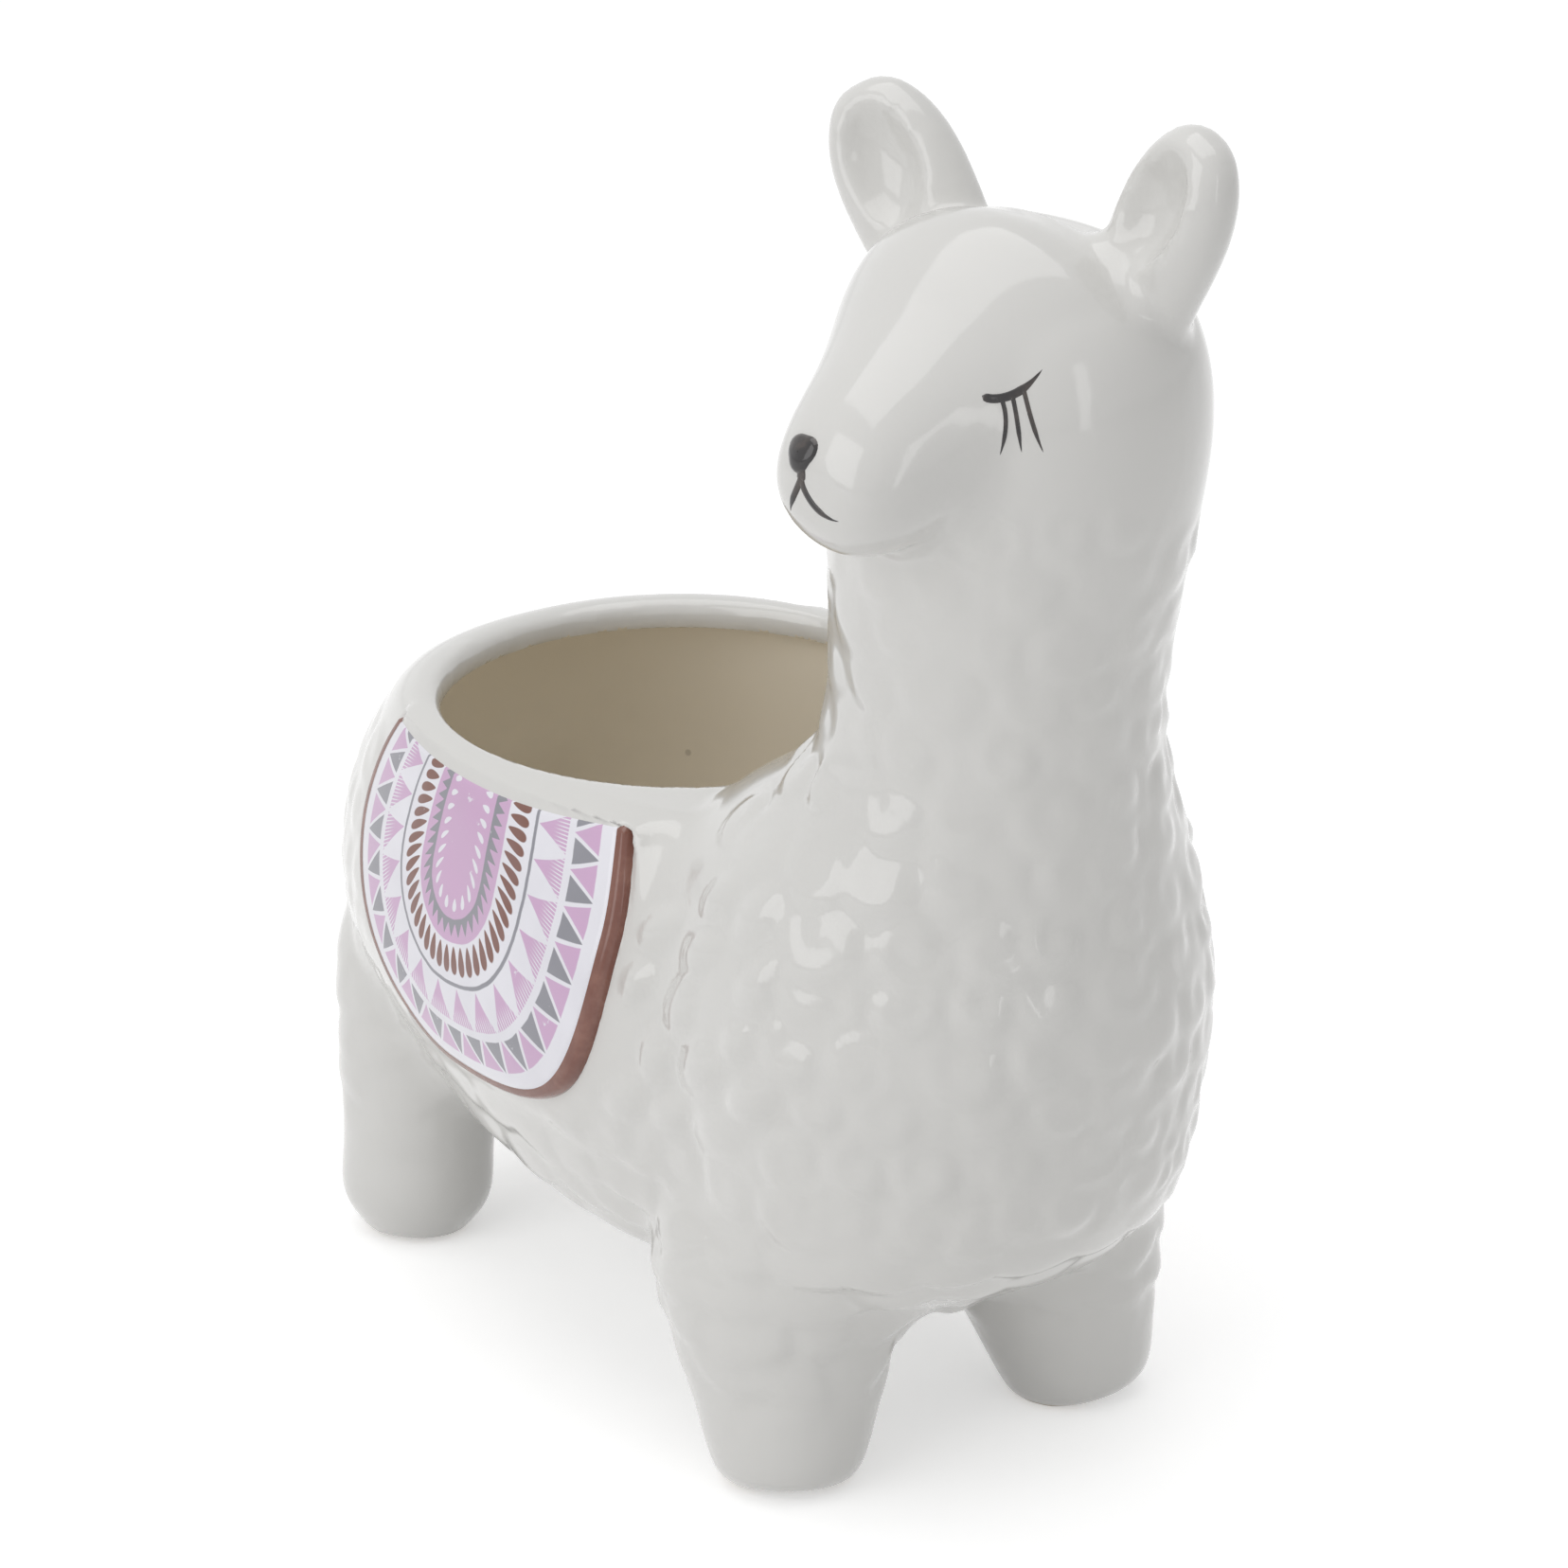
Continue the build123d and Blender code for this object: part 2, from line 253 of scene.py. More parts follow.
class Socket:
    """A node's output that takes part in shader sums written as expressions."""

    def __init__(self, wiring: "Wiring", node: bpy.types.Node, name: str | int = 0) -> None:
        """Keeps the wiring, the node and which of its outputs this value is.

        Args:
            wiring: the tree's wiring.
            node: the node.
            name: name or number of the output.
        """
        self.wiring = wiring
        self.node = node
        self.name = name

    def output(self) -> bpy.types.NodeSocket:
        """The node's output itself."""
        return self.node.outputs[self.name]

    def beside(self, name: str | int) -> "Socket":
        """Another output of the same node."""
        return Socket(self.wiring, self.node, name)

    def math(self, operation: str, *others: "Socket | float") -> "Socket":
        """Adds a Math node on this value and others."""
        return self.wiring.math(operation, self, *others)

    def __add__(self, other: "Socket | float") -> "Socket":
        """This plus other."""
        return self.math("ADD", other)

    __radd__ = __add__

    def __mul__(self, other: "Socket | float") -> "Socket":
        """This times other."""
        return self.math("MULTIPLY", other)

    __rmul__ = __mul__

    def __sub__(self, other: "Socket | float") -> "Socket":
        """This less other."""
        return self.math("SUBTRACT", other)

    def __rsub__(self, other: "Socket | float") -> "Socket":
        """Other less this."""
        return self.wiring.math("SUBTRACT", other, self)

    def __truediv__(self, other: "Socket | float") -> "Socket":
        """This over other."""
        return self.math("DIVIDE", other)

    def __rtruediv__(self, other: "Socket | float") -> "Socket":
        """Other over this."""
        return self.wiring.math("DIVIDE", other, self)

    def __gt__(self, other: "Socket | float") -> "Socket":
        """1 where this is more than other, else 0."""
        return self.math("GREATER_THAN", other)

    def ramp(self, low: float, high: float) -> "Socket":
        """Eased ramp from 0 at low to 1 at high."""
        settings = {"interpolation_type": "SMOOTHSTEP", "clamp": True}
        return self.wiring.node("ShaderNodeMapRange", settings, {0: self, 1: low, 2: high})

    def distance_from_middle(self) -> "Socket":
        """How far this value's fraction lies from a half, for patterns that repeat at each whole."""
        return (self.math("FRACT") - 0.5).math("ABSOLUTE")


class Wiring:
    """The node tree of a material or of the world, with every kind of node added by one method."""

    def __init__(self, owner: bpy.types.Material | bpy.types.World) -> None:
        """Starts the owner's tree empty.

        Args:
            owner: the material or the world that the tree belongs to.
        """
        owner.use_nodes = True
        self.owner = owner
        self.tree = owner.node_tree
        self.tree.nodes.clear()

    def node(
        self, kind: str, settings: dict | None = None, sockets: dict | None = None, out: str | int = 0
    ) -> Socket:
        """Adds a node.

        Args:
            kind: the node's type.
            settings: its properties, set before the sockets.
            sockets: values or links by socket name or number.
            out: the output wanted.

        Returns:
            That output.
        """
        made = self.tree.nodes.new(kind)
        for key, value in (settings or {}).items():
            setattr(made, key, value)
        for key, value in (sockets or {}).items():
            if isinstance(value, Socket):
                self.tree.links.new(value.output(), made.inputs[key])
            else:
                made.inputs[key].default_value = value
        return Socket(self, made, out)

    def math(self, operation: str, *values: Socket | float) -> Socket:
        """Adds a Math node for numbers alone."""
        return self.node("ShaderNodeMath", {"operation": operation}, dict(enumerate(values)))

    def mix(self, factor: Socket | float, first: Socket | tuple, second: Socket | tuple) -> Socket:
        """Mixes two colours: the first at factor 0, the second at 1."""
        settings = {"data_type": "RGBA", "clamp_factor": True}
        return self.node("ShaderNodeMix", settings, {0: factor, 6: first, 7: second}, 2)

    def noise(self, place: Socket, scale: float, detail: float = 2.0, roughness: float = 0.5) -> Socket:
        """Noise from 0 to 1 at a scale in waves to the metre."""
        sockets = {"Vector": place, "Scale": scale, "Detail": detail, "Roughness": roughness}
        return self.node("ShaderNodeTexNoise", {"noise_dimensions": "3D"}, sockets)

    def bump(self, strength: float, distance: float, height: Socket) -> Socket:
        """Normals tilted by a height, whose distance is in metres."""
        sockets = {"Strength": strength, "Distance": distance, "Height": height}
        return self.node("ShaderNodeBump", None, sockets)

    def object_place(self) -> Socket:
        """The point's place in the object."""
        return self.node("ShaderNodeTexCoord", out="Object")

    def end(self, surface: Socket, kind: str = "ShaderNodeOutputMaterial") -> None:
        """Joins a surface to the tree's output."""
        self.node(kind, None, {"Surface": surface})

    def finish(self, constants: dict, varying: dict) -> bpy.types.Material:
        """Ends the tree in a Principled surface.

        Args:
            constants: values set on the shader's own sockets.
            varying: links for the sockets that change over the surface.

        Returns:
            The material.
        """
        self.end(self.node("ShaderNodeBsdfPrincipled", None, {**constants, **varying}))
        return self.owner


def material_wiring(name: str) -> Wiring:
    """The empty wiring of a new material."""
    return Wiring(bpy.data.materials.new(name))


def paint(red: float, green: float, blue: float) -> tuple[float, float, float, float]:
    """A paint chip's 0 to 255 colour as the shader's linear one, by the usual screen curve.

    Args:
        red: the chip's red.
        green: its green.
        blue: its blue.

    Returns:
        The linear colour, opaque.
    """
    chip = np.array([red, green, blue]) / 255
    linear = np.where(chip <= 0.04045, chip / 12.92, ((chip + 0.055) / 1.055) ** 2.4)
    return (*linear.tolist(), 1.0)


# ---------------------------------------------------------------- finishes


@dataclass(frozen=True)
class GlazeFinish:
    """Thick glossy glaze over pale clay, bare under the feet, with painted shade that darkens it in the
    wool's grooves and a random cloudy tone.

    Scales are waves to the metre, and edges are where a soft mask leaves 0 and reaches 1.
    """

    name: str
    coat: Chip
    # second colour: painted shade in the wool's grooves, also reached in places by a random cloudy tone
    shade_and_cloud: Chip
    roughness: float = 0.09
    fleck_share: float = 0.5
    bare_clay: Chip = (206, 196, 180)
    bare_edge: tuple[float, float] = (0.45, 0.99)
    bare_roughness: float = 0.6
    # how strongly the groove depth paints shade into the glaze
    groove_shade_share: float = 0.8
    cloud_scale: float = 38.0
    cloud_share: float = 0.25
    cloud_roughness: float = 0.05
    fleck: Chip = (96, 84, 72)
    fleck_scale: float = 62.0
    fleck_edge: tuple[float, float] = (0.018, 0.035)
    fleck_patch_scale: float = 9.0
    fleck_patch_level: float = 0.56
    ripple_scales: tuple[float, float] = (210.0, 900.0)
    ripple_shares: tuple[float, float] = (0.7, 0.12)
    ripple_bump: tuple[float, float] = (0.10, 0.0006)
    gloss_share: float = 0.3

    def build(self) -> bpy.types.Material:
        """Makes the glaze.

        Returns:
            The material.
        """
        w = material_wiring(self.name)
        place = w.object_place()
        height = w.node("ShaderNodeSeparateXYZ", None, {0: place}, "Z")
        groove = w.node("ShaderNodeAttribute", {"attribute_name": "groove"}, None, "Fac")
        cloud = w.noise(place, self.cloud_scale, 3.0)
        # painted shade: the coat is darkened towards the second colour where the wool's grooves are deep,
        # with a random cloudy tone on top
        shade_and_cloud_share = groove * self.groove_shade_share + (cloud - 0.5) * self.cloud_share
        shade = w.mix(shade_and_cloud_share, paint(*self.coat), paint(*self.shade_and_cloud))
        spot_sockets = {"Vector": place, "Scale": self.fleck_scale}
        spots = w.node("ShaderNodeTexVoronoi", {"feature": "F1"}, spot_sockets)
        patch = w.noise(place, self.fleck_patch_scale) > self.fleck_patch_level
        fleck = (1 - spots.ramp(*self.fleck_edge)) * patch * self.fleck_share
        shade = w.mix(fleck, shade, paint(*self.fleck))
        bare = 1 - height.ramp(self.bare_edge[0] * MM, self.bare_edge[1] * MM)
        colour = w.mix(bare, shade, paint(*self.bare_clay))
        rough = (cloud * self.cloud_roughness + self.roughness) + bare * self.bare_roughness
        (wide, fine), (wide_share, fine_share) = self.ripple_scales, self.ripple_shares
        ripples = w.noise(place, wide, 1.0) * wide_share + w.noise(place, fine) * fine_share
        constants = {"IOR": 1.52, "Coat Roughness": 0.03, "Coat IOR": 1.5}
        varying = {"Base Color": colour, "Roughness": rough, "Coat Weight": (1 - bare) * self.gloss_share}
        return w.finish(constants, {**varying, "Normal": w.bump(*self.ripple_bump, ripples)})


@dataclass(frozen=True)
class EnamelFinish:
    """Fired enamel: brushed on in one colour that runs thinner in places."""

    name: str
    thick: Chip
    thin: Chip
    thinning: float = 0.5
    roughness: float = 0.12
    streak_scale: float = 260.0
    streak_edge: tuple[float, float] = (0.42, 0.75)
    rough_scale: float = 500.0
    rough_share: float = 0.08
    grain_scale: float = 700.0
    grain_bump: tuple[float, float] = (0.12, 0.0003)

    def build(self) -> bpy.types.Material:
        """Makes the enamel.

        Returns:
            The material.
        """
        w = material_wiring(self.name)
        place = w.object_place()
        streak = w.noise(place, self.streak_scale, 3.0, 0.6).ramp(*self.streak_edge) * self.thinning
        colour = w.mix(streak, paint(*self.thick), paint(*self.thin))
        rough = w.noise(place, self.rough_scale) * self.rough_share + self.roughness
        grain = w.bump(*self.grain_bump, w.noise(place, self.grain_scale))
        constants = {"IOR": 1.5, "Coat Weight": 0.4, "Coat Roughness": 0.05}
        return w.finish(constants, {"Base Color": colour, "Roughness": rough, "Normal": grain})


@dataclass(frozen=True)
class PrintLine:
    """A plain band of the print between two depths in from the blanket's outline, with soft edges."""

    start: float
    end: float
    soft: float = 0.08

    def mask(self, depth: Socket) -> Socket:
        """The band's mask: a ramp up at its start times a ramp down at its end.

        Args:
            depth: distance inwards.

        Returns:
            1 on the band.
        """
        begun = depth.ramp(self.start - self.soft, self.start + self.soft)
        ended = depth.ramp(self.end - self.soft, self.end + self.soft)
        return begun * (1 - ended)


@dataclass(frozen=True)
class PrintTeeth:
    """A row of triangles in the print: the half width falls evenly from the base to the tip.

    The half base is a share of the spacing, and the shift is in triangles.
    """

    count: int
    start: float
    end: float
    half_base: float
    based_outside: bool
    shift: float = 0.0
    soft: float = 0.012

    def mask(self, along: Socket, depth: Socket) -> Socket:
        """The row's mask.

        Args:
            along: share of the way along the U.
            depth: distance inwards.

        Returns:
            1 on the triangles.
        """
        across = (along * self.count + self.shift).distance_from_middle()
        rise = (depth - self.start) / (self.end - self.start)
        width = (1 - rise) if self.based_outside else rise
        inside = (width * self.half_base - across).ramp(-self.soft, self.soft)
        return inside * PrintLine(self.start, self.end).mask(depth)


@dataclass(frozen=True)
class PrintSeeds:
    """A row of drops in the print: ellipses whose inner half is drawn to a point.

    The half width is a share of the spacing.
    """

    count: int
    middle: float
    half_length: float
    half_width: float
    point: float = 0.35
    edge: tuple[float, float] = (0.85, 1.1)

    def mask(self, along: Socket, depth: Socket) -> Socket:
        """The row's mask.

        Args:
            along: share of the way along the U.
            depth: distance inwards.

        Returns:
            1 on the drops.
        """
        across = ((along * self.count).math("FRACT") - 0.5) / self.half_width
        down = (depth - self.middle) / self.half_length
        swell = 1 - down * self.point
        return 1 - (across * across / (swell * swell) + down * down).ramp(*self.edge)


@dataclass(frozen=True)
class PrintFinish:
    """The blanket's fired print: bands of simple woven-cloth ornament that follow its U outline.

    Depths are millimetres in from the outer outline. The texture place is the share of the way along
    the U, and the depth over the blanket's half width.
    """

    half_width: float
    white: Chip = (240, 239, 246)
    rose: Chip = (214, 176, 211)
    slate: Chip = (146, 146, 154)
    umber: Chip = (128, 80, 66)
    dull: Chip = (190, 186, 196)
    outer_teeth: PrintTeeth = PrintTeeth(20, 3.0, 7.0, 0.40, based_outside=True)
    outer_gaps: PrintTeeth = PrintTeeth(20, 2.9, 6.9, 0.36, based_outside=False, shift=0.5)
    feathers: PrintTeeth = PrintTeeth(16, 8.0, 12.9, 0.46, based_outside=True)
    slate_line: PrintLine = PrintLine(13.1, 13.6)
    umber_seeds: PrintSeeds = PrintSeeds(35, 16.35, 1.75, 0.37)
    rose_field: PrintLine = PrintLine(18.5, 30.0)
    saw_teeth: PrintTeeth = PrintTeeth(30, 19.2, 20.9, 0.5, based_outside=False)
    saw_line: PrintLine = PrintLine(20.7, 21.3)
    pale_seeds: PrintSeeds = PrintSeeds(20, 22.9, 0.75, 0.22)
    comb_slits: int = 11
    comb_width: float = 0.33
    comb_fade: tuple[float, float] = (0.6, 2.6)
    wobble_scale: float = 520.0
    wobble: float = 0.22
    wear_scale: float = 330.0
    wear_edge: tuple[float, float] = (0.66, 0.72)
    wear: float = 0.75
    tone_scale: float = 150.0
    tone_edge: tuple[float, float] = (0.3, 0.7)
    tone: float = 0.10
    roughness: float = 0.13
    rough_scale: float = 600.0
    rough_share: float = 0.08
    grain_scale: float = 420.0
    grain_bump: tuple[float, float] = (0.10, 0.0003)

    def combed(self, along: Socket, depth: Socket) -> Socket:
        """Slits that comb the feathered triangles' bases and fade towards their tips.

        Args:
            along: share of the way along the U.
            depth: distance inwards.

        Returns:
            0 in the slits, 1 elsewhere.
        """
        slit = (along * (self.feathers.count * self.comb_slits)).distance_from_middle() > self.comb_width
        return 1 - slit * (1 - (depth - self.feathers.start).ramp(*self.comb_fade))

    def build(self) -> bpy.types.Material:
        """Makes the print, tint over tint from the outline inwards, then its wear and its tone.

        Returns:
            The material.
        """
        w = material_wiring("fired_print")
        uv_place = w.node("ShaderNodeUVMap", {"uv_map": "place"})
        along = w.node("ShaderNodeSeparateXYZ", None, {0: uv_place})
        place = w.object_place()
        wobble = (w.noise(place, self.wobble_scale) - 0.5) * self.wobble
        depth = along.beside("Y") * self.half_width + wobble
        worn = w.noise(place, self.wear_scale, 4.0, 0.7).ramp(*self.wear_edge) * self.wear
        toned = w.noise(place, self.tone_scale).ramp(*self.tone_edge) * self.tone
        layers = (
            (self.outer_teeth.mask(along, depth), self.rose),
            (self.outer_gaps.mask(along, depth), self.slate),
            (self.feathers.mask(along, depth) * self.combed(along, depth), self.rose),
            (self.slate_line.mask(depth), self.slate),
            (self.umber_seeds.mask(along, depth), self.umber),
            (self.rose_field.mask(depth), self.rose),
            (self.saw_teeth.mask(along, depth), self.slate),
            (self.saw_line.mask(depth), self.slate),
            (self.pale_seeds.mask(along, depth), self.white),
            (worn, self.white),
            (toned, self.dull),
        )
        colour = paint(*self.white)
        for mask, tint in layers:
            colour = w.mix(mask, colour, paint(*tint))
        rough = w.noise(place, self.rough_scale) * self.rough_share + self.roughness
        grain = w.bump(*self.grain_bump, w.noise(place, self.grain_scale))
        constants = {"IOR": 1.5, "Coat Weight": 0.35, "Coat Roughness": 0.05}
        return w.finish(constants, {"Base Color": colour, "Roughness": rough, "Normal": grain})


# ---------------------------------------------------------------- head, outline and flanks


@dataclass(frozen=True)
class HeadFrame:
    """Where the turned head is: its middle and the directions of gaze and left side."""

    turn: float = 76.0
    roll: float = 4.5
    middle: tuple[float, float, float] = (1.9, -47.6, 143.8)

    def gaze(self) -> Array:
        """Level direction in which the llama looks."""
        turn = math.radians(self.turn)
        return np.array([-math.sin(turn), -math.cos(turn), 0.0])

    def left(self) -> Array:
        """Works out the direction of the head's left side, with its roll.

        Returns:
            A unit direction.
        """
        turn, roll = math.radians(self.turn), math.radians(self.roll)
        level = np.array([math.cos(turn), -math.sin(turn), 0.0])
        return level * math.cos(roll) + np.array([0.0, 0.0, math.sin(roll)])

    def mirrored(self, points: Array) -> Array:
        """Points on the other side of the plane that halves the head."""
        return points - 2 * ((points - np.array(self.middle)) @ self.left())[:, None] * self.left()


@dataclass(frozen=True)
class BlanketOutline:
    """The blanket's U on the flank: scaled horseshoes about one centre, with legs that lean in upwards."""

    centre: float = 12.8
    waist_height: float = 66.5
    half_width: float = 26.6
    depth_share: float = 0.905
    depth_growth: float = 0.16
    centre_drift: float = 1.6
    front_power: float = 3.1
    rear_power: float = 1.75
    power_turn: Ramp = Ramp(-0.7, 0.5)
    top_height: float = 78.9
    top_dip: float = 1.2
    dip_shift: float = 4.0
    leg_share: float = 0.17
    leg_lean: float = 0.15

    def point(self, along: Array, width: Array) -> tuple[Array, Array]:
        """Place on the horseshoe of a half width.

        A horseshoe is half of an oval below the waist and two legs above it. The oval's power is 2 at
        the middle, fuller towards the front of the outer outline and flatter towards its rear. Each
        leg leans in by a share of the half width that grows with the square of the way up.

        Args:
            along: way along the U from the front top to the rear top, 0 to 1.
            width: half width of the horseshoe.

        Returns:
            Y and Z of the points.
        """
        inner = 1 - width / self.half_width
        middle = self.centre + self.centre_drift * inner
        deep = width * (self.depth_share + self.depth_growth * inner)
        leg = self.leg_share
        turn = np.clip((along - leg) / (1 - 2 * leg), 0, 1) * np.pi
        up = np.clip(np.maximum(leg - along, along - 1 + leg) / leg, 0, 1)
        across, down = np.cos(turn), np.sin(turn).clip(0, 1)
        power = self.power(-across, width)
        norm = (np.abs(across) ** power + down**power) ** (1 / power)
        y = middle - width * across / norm * (1 - self.leg_lean * up**2)
        dip = self.top_dip * np.clip(1 - ((y - self.centre - self.dip_shift) / self.half_width) ** 2, 0, 1)
        z = self.waist_height - deep * down / norm + up * (self.top_height - dip - self.waist_height)
        return y, z

    def power(self, rearward: Array, width: Array | float) -> Array:
        """The oval's power: eased from the front's to the rear's, and 2 for a horseshoe of no width.

        Args:
            rearward: -1 at the front to 1 at the rear.
            width: half width of the horseshoe.

        Returns:
            The powers.
        """
        outer = self.front_power + (self.rear_power - self.front_power) * self.power_turn(rearward)
        return 2 + (outer - 2) * width / self.half_width

    def inset(self, y: Array, z: Array) -> Array:
        """Distance inside the outer outline, negative outside, ignoring the top edge.

        Below the waist it is the half width less that of the oval through the point; above it, the
        leaning leg's distance.

        Args:
            y: places along the body.
            z: heights.

        Returns:
            Distances in millimetres.
        """
        down = np.maximum(self.waist_height - z, 0) / self.depth_share
        up = np.clip((z - self.waist_height) / (self.top_height - self.waist_height), 0, 1)
        side = (y - self.centre) / (1 - self.leg_lean * up**2)
        power = self.power(side / np.maximum(np.hypot(side, down), 1e-6), self.half_width)
        return self.half_width - (np.abs(side) ** power + down**power) ** (1 / power)


@dataclass
class Flank:
    """The bare wool-free skin of a flank as a smooth polynomial: reach from the middle plane over Y and Z."""

    side: Side
    degree: int = 6
    middle: tuple[float, float] = (12.0, 58.0)
    span: tuple[float, float] = (36.0, 24.0)
    heights: tuple[float, float] = (31.0, 79.4)
    least_reach: float = 14.0
    least_facing: float = 0.35
    pad_place: float = 12.0
    pad_half_width: float = 25.0
    pad_corner: float = 18.0
    pad_bottom: float = 40.4
    pad_relief: float = 1.3
    pad_edge: float = 0.06
    slope_step: float = 0.2

    def terms(self, y: Array, z: Array) -> Array:
        """Products of powers of the centred and scaled Y and Z up to the degree.

        Args:
            y: places along the body.
            z: heights.

        Returns:
            The products, along a new last axis.
        """
        u = (y - self.middle[0]) / self.span[0]
        v = (z - self.middle[1]) / self.span[1]
        return np.stack([u**i * v**j for i in range(self.degree + 1) for j in range(self.degree + 1 - i)], -1)

    def fit(self, points: Array, normals: Array) -> None:
        """Fits the polynomial to the casting's skin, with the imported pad's relief taken off.

        Args:
            points: the casting's outer points.
            normals: their normals.
        """
        x, y, z = (points * np.array([self.side.value, 1, 1])).T
        facing = normals[:, 0] * self.side.value
        below = np.maximum(self.pad_bottom + self.pad_corner - z, 0)
        pad = np.hypot((y - self.pad_place) / self.pad_half_width, below / self.pad_corner)
        near = (np.abs(y - self.middle[0]) < self.span[0]) & (z > self.heights[0]) & (z < self.heights[1])
        near &= (facing > self.least_facing) & (x > self.least_reach) & (np.abs(pad - 1) > self.pad_edge)
        bare = x - np.where(pad < 1, self.pad_relief, 0) / np.maximum(facing, self.least_facing)
        self.weights = np.linalg.lstsq(self.terms(y[near], z[near]), bare[near], rcond=None)[0]
        miss = self.terms(y[near], z[near]) @ self.weights - bare[near]
        LOG.info("flank %s fitted, root mean square miss %.3f mm", self.side.name.lower(), float(miss.std()))

    def reach(self, y: Array, z: Array) -> Array:
        """Distance of the bare skin from the middle plane."""
        return self.terms(y, z) @ self.weights

    def point(self, y: Array, z: Array, proud: Array | float) -> Array:
        """Points that stand proud of the bare skin along its own normal.

        Args:
            y: places along the body.
            z: heights.
            proud: distances above the skin.

        Returns:
            The points.
        """
        step = self.slope_step
        slope_y = (self.reach(y + step, z) - self.reach(y - step, z)) / (2 * step)
        slope_z = (self.reach(y, z + step) - self.reach(y, z - step)) / (2 * step)
        normal = unit(np.stack([np.ones_like(y), -slope_y, -slope_z], -1))
        skin = np.stack([self.reach(y, z), y, z], -1)
        return (skin + normal * np.asarray(proud)[..., None]) * np.array([self.side.value, 1, 1])


# ---------------------------------------------------------------- even skin


@dataclass
class EvenSkin:
    """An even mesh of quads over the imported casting, with the smoothing that its looks need.

    Rises of hollow corners are stated for the rated spacing of the points.
    """

    spacing: float = 0.85
    quick_spacing: float = 1.0
    rated_spacing: float = 0.8
    smoothing_steps: tuple[float, float] = (0.52, -0.54)
    relax_step: float = 0.5

    def __post_init__(self) -> None:
        """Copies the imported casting, welds it, remeshes it into even quads and reads them as arrays."""
        self.used_spacing = self.spacing
        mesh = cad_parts["planter_casting"].data.copy()
        weld(mesh)
        rough = bpy.data.objects.new("casting_blank", mesh)
        bpy.context.scene.collection.objects.link(rough)
        remesh = rough.modifiers.new("even_quads", "REMESH")
        remesh.mode = "VOXEL"
        remesh.voxel_size = self.used_spacing * MM
        graph = bpy.context.evaluated_depsgraph_get()
        even = bpy.data.meshes.new_from_object(rough.evaluated_get(graph))
        bpy.data.objects.remove(rough)
        points = np.zeros(len(even.vertices) * 3, np.float32)
        even.vertices.foreach_get("co", points)
        corners = np.zeros(len(even.loops), np.int32)
        even.loops.foreach_get("vertex_index", corners)
        bpy.data.meshes.remove(even)
        self.points = points.reshape(-1, 3).astype(float) / MM
        self.faces = corners.reshape(-1, 4)
        sides = np.concatenate([self.faces[:, [i, (i + 1) % 4]] for i in range(4)])
        self.edges = np.unique(np.sort(sides, 1), axis=0)
        self.valence = np.bincount(self.edges.ravel(), minlength=len(self.points))
        self.inside = np.zeros(len(self.points))
        self.groove = np.zeros(len(self.points))

    def neighbour_mean(self, values: Array) -> Array:
        """Mean over each point's neighbours along the edges.

        Args:
            values: one value or one row of values for each point.

        Returns:
            The means, in the same shape.
        """
        table = values.reshape(len(values), -1)
        a, b = self.edges.T
        size = len(values)
        sums = [np.bincount(a, t[b], size) + np.bincount(b, t[a], size) for t in table.T]
        return (np.stack(sums, -1) / self.valence[:, None]).reshape(values.shape)

    def normals(self) -> Array:
        """Point normals: the sum of the crossed diagonals of the quads round each point.

        Returns:
            One unit normal for each point.
        """
        corner = self.points[self.faces]
        crossed = np.cross(corner[:, 2] - corner[:, 0], corner[:, 3] - corner[:, 1])
        size = len(self.points)
        total = sum(
            np.stack([np.bincount(self.faces[:, k], crossed[:, axis], size) for axis in range(3)], -1)
            for k in range(4)
        )
        return unit(total)

    def even_out(self, rounds: int) -> None:
        """Smooths without shrinking: a step to the neighbours' mean and a slightly longer one back.

        Args:
            rounds: how many pairs of steps.
        """
        for _ in range(rounds):
            for step in self.smoothing_steps:
                self.points += step * (self.neighbour_mean(self.points) - self.points)

    def hollow_marks(self, low: Array | float, high: Array | float, rings: int) -> Array:
        """Marks the hollow corners, where the neighbours' mean lies well above the skin.

        Args:
            low: rise at which the mark starts.
            high: rise at which it is full.
            rings: how many rings of points the mark is spread over.

        Returns:
            Marks from 0 to 1.
        """
        rise = ((self.neighbour_mean(self.points) - self.points) * self.normals()).sum(-1)
        mark = smooth_step(low, high, rise * (self.rated_spacing / self.used_spacing) ** 2)
        for _ in range(rings):
            mark = np.maximum(mark, self.neighbour_mean(mark))
        return mark

    def relax(self, mark: Array, rounds: int) -> None:
        """Draws the marked points towards their neighbours' mean.

        Args:
            mark: share of the step for each point.
            rounds: how many steps.
        """
        for _ in range(rounds):
            self.points += self.relax_step * mark[:, None] * (self.neighbour_mean(self.points) - self.points)

    def part(self, name: str, chosen: Array) -> bpy.types.Object:
        """Makes a piece of some of the quads, with the depth of the wool's grooves on its points.

        Args:
            name: the piece's name.
            chosen: which quads it has.

        Returns:
            The piece.
        """
        used, packed = np.unique(self.faces[chosen].ravel(), return_inverse=True)
        piece = put_piece(name, self.points[used], packed.reshape(-1, 4))
        groove = piece.data.attributes.new("groove", "FLOAT", "POINT")
        groove.data.foreach_set("value", self.groove[used].astype(np.float32))
        return piece

    def tree(self) -> BVHTree:
        """A search tree over the skin, in millimetres."""
        return BVHTree.FromPolygons(self.points.tolist(), self.faces.tolist())


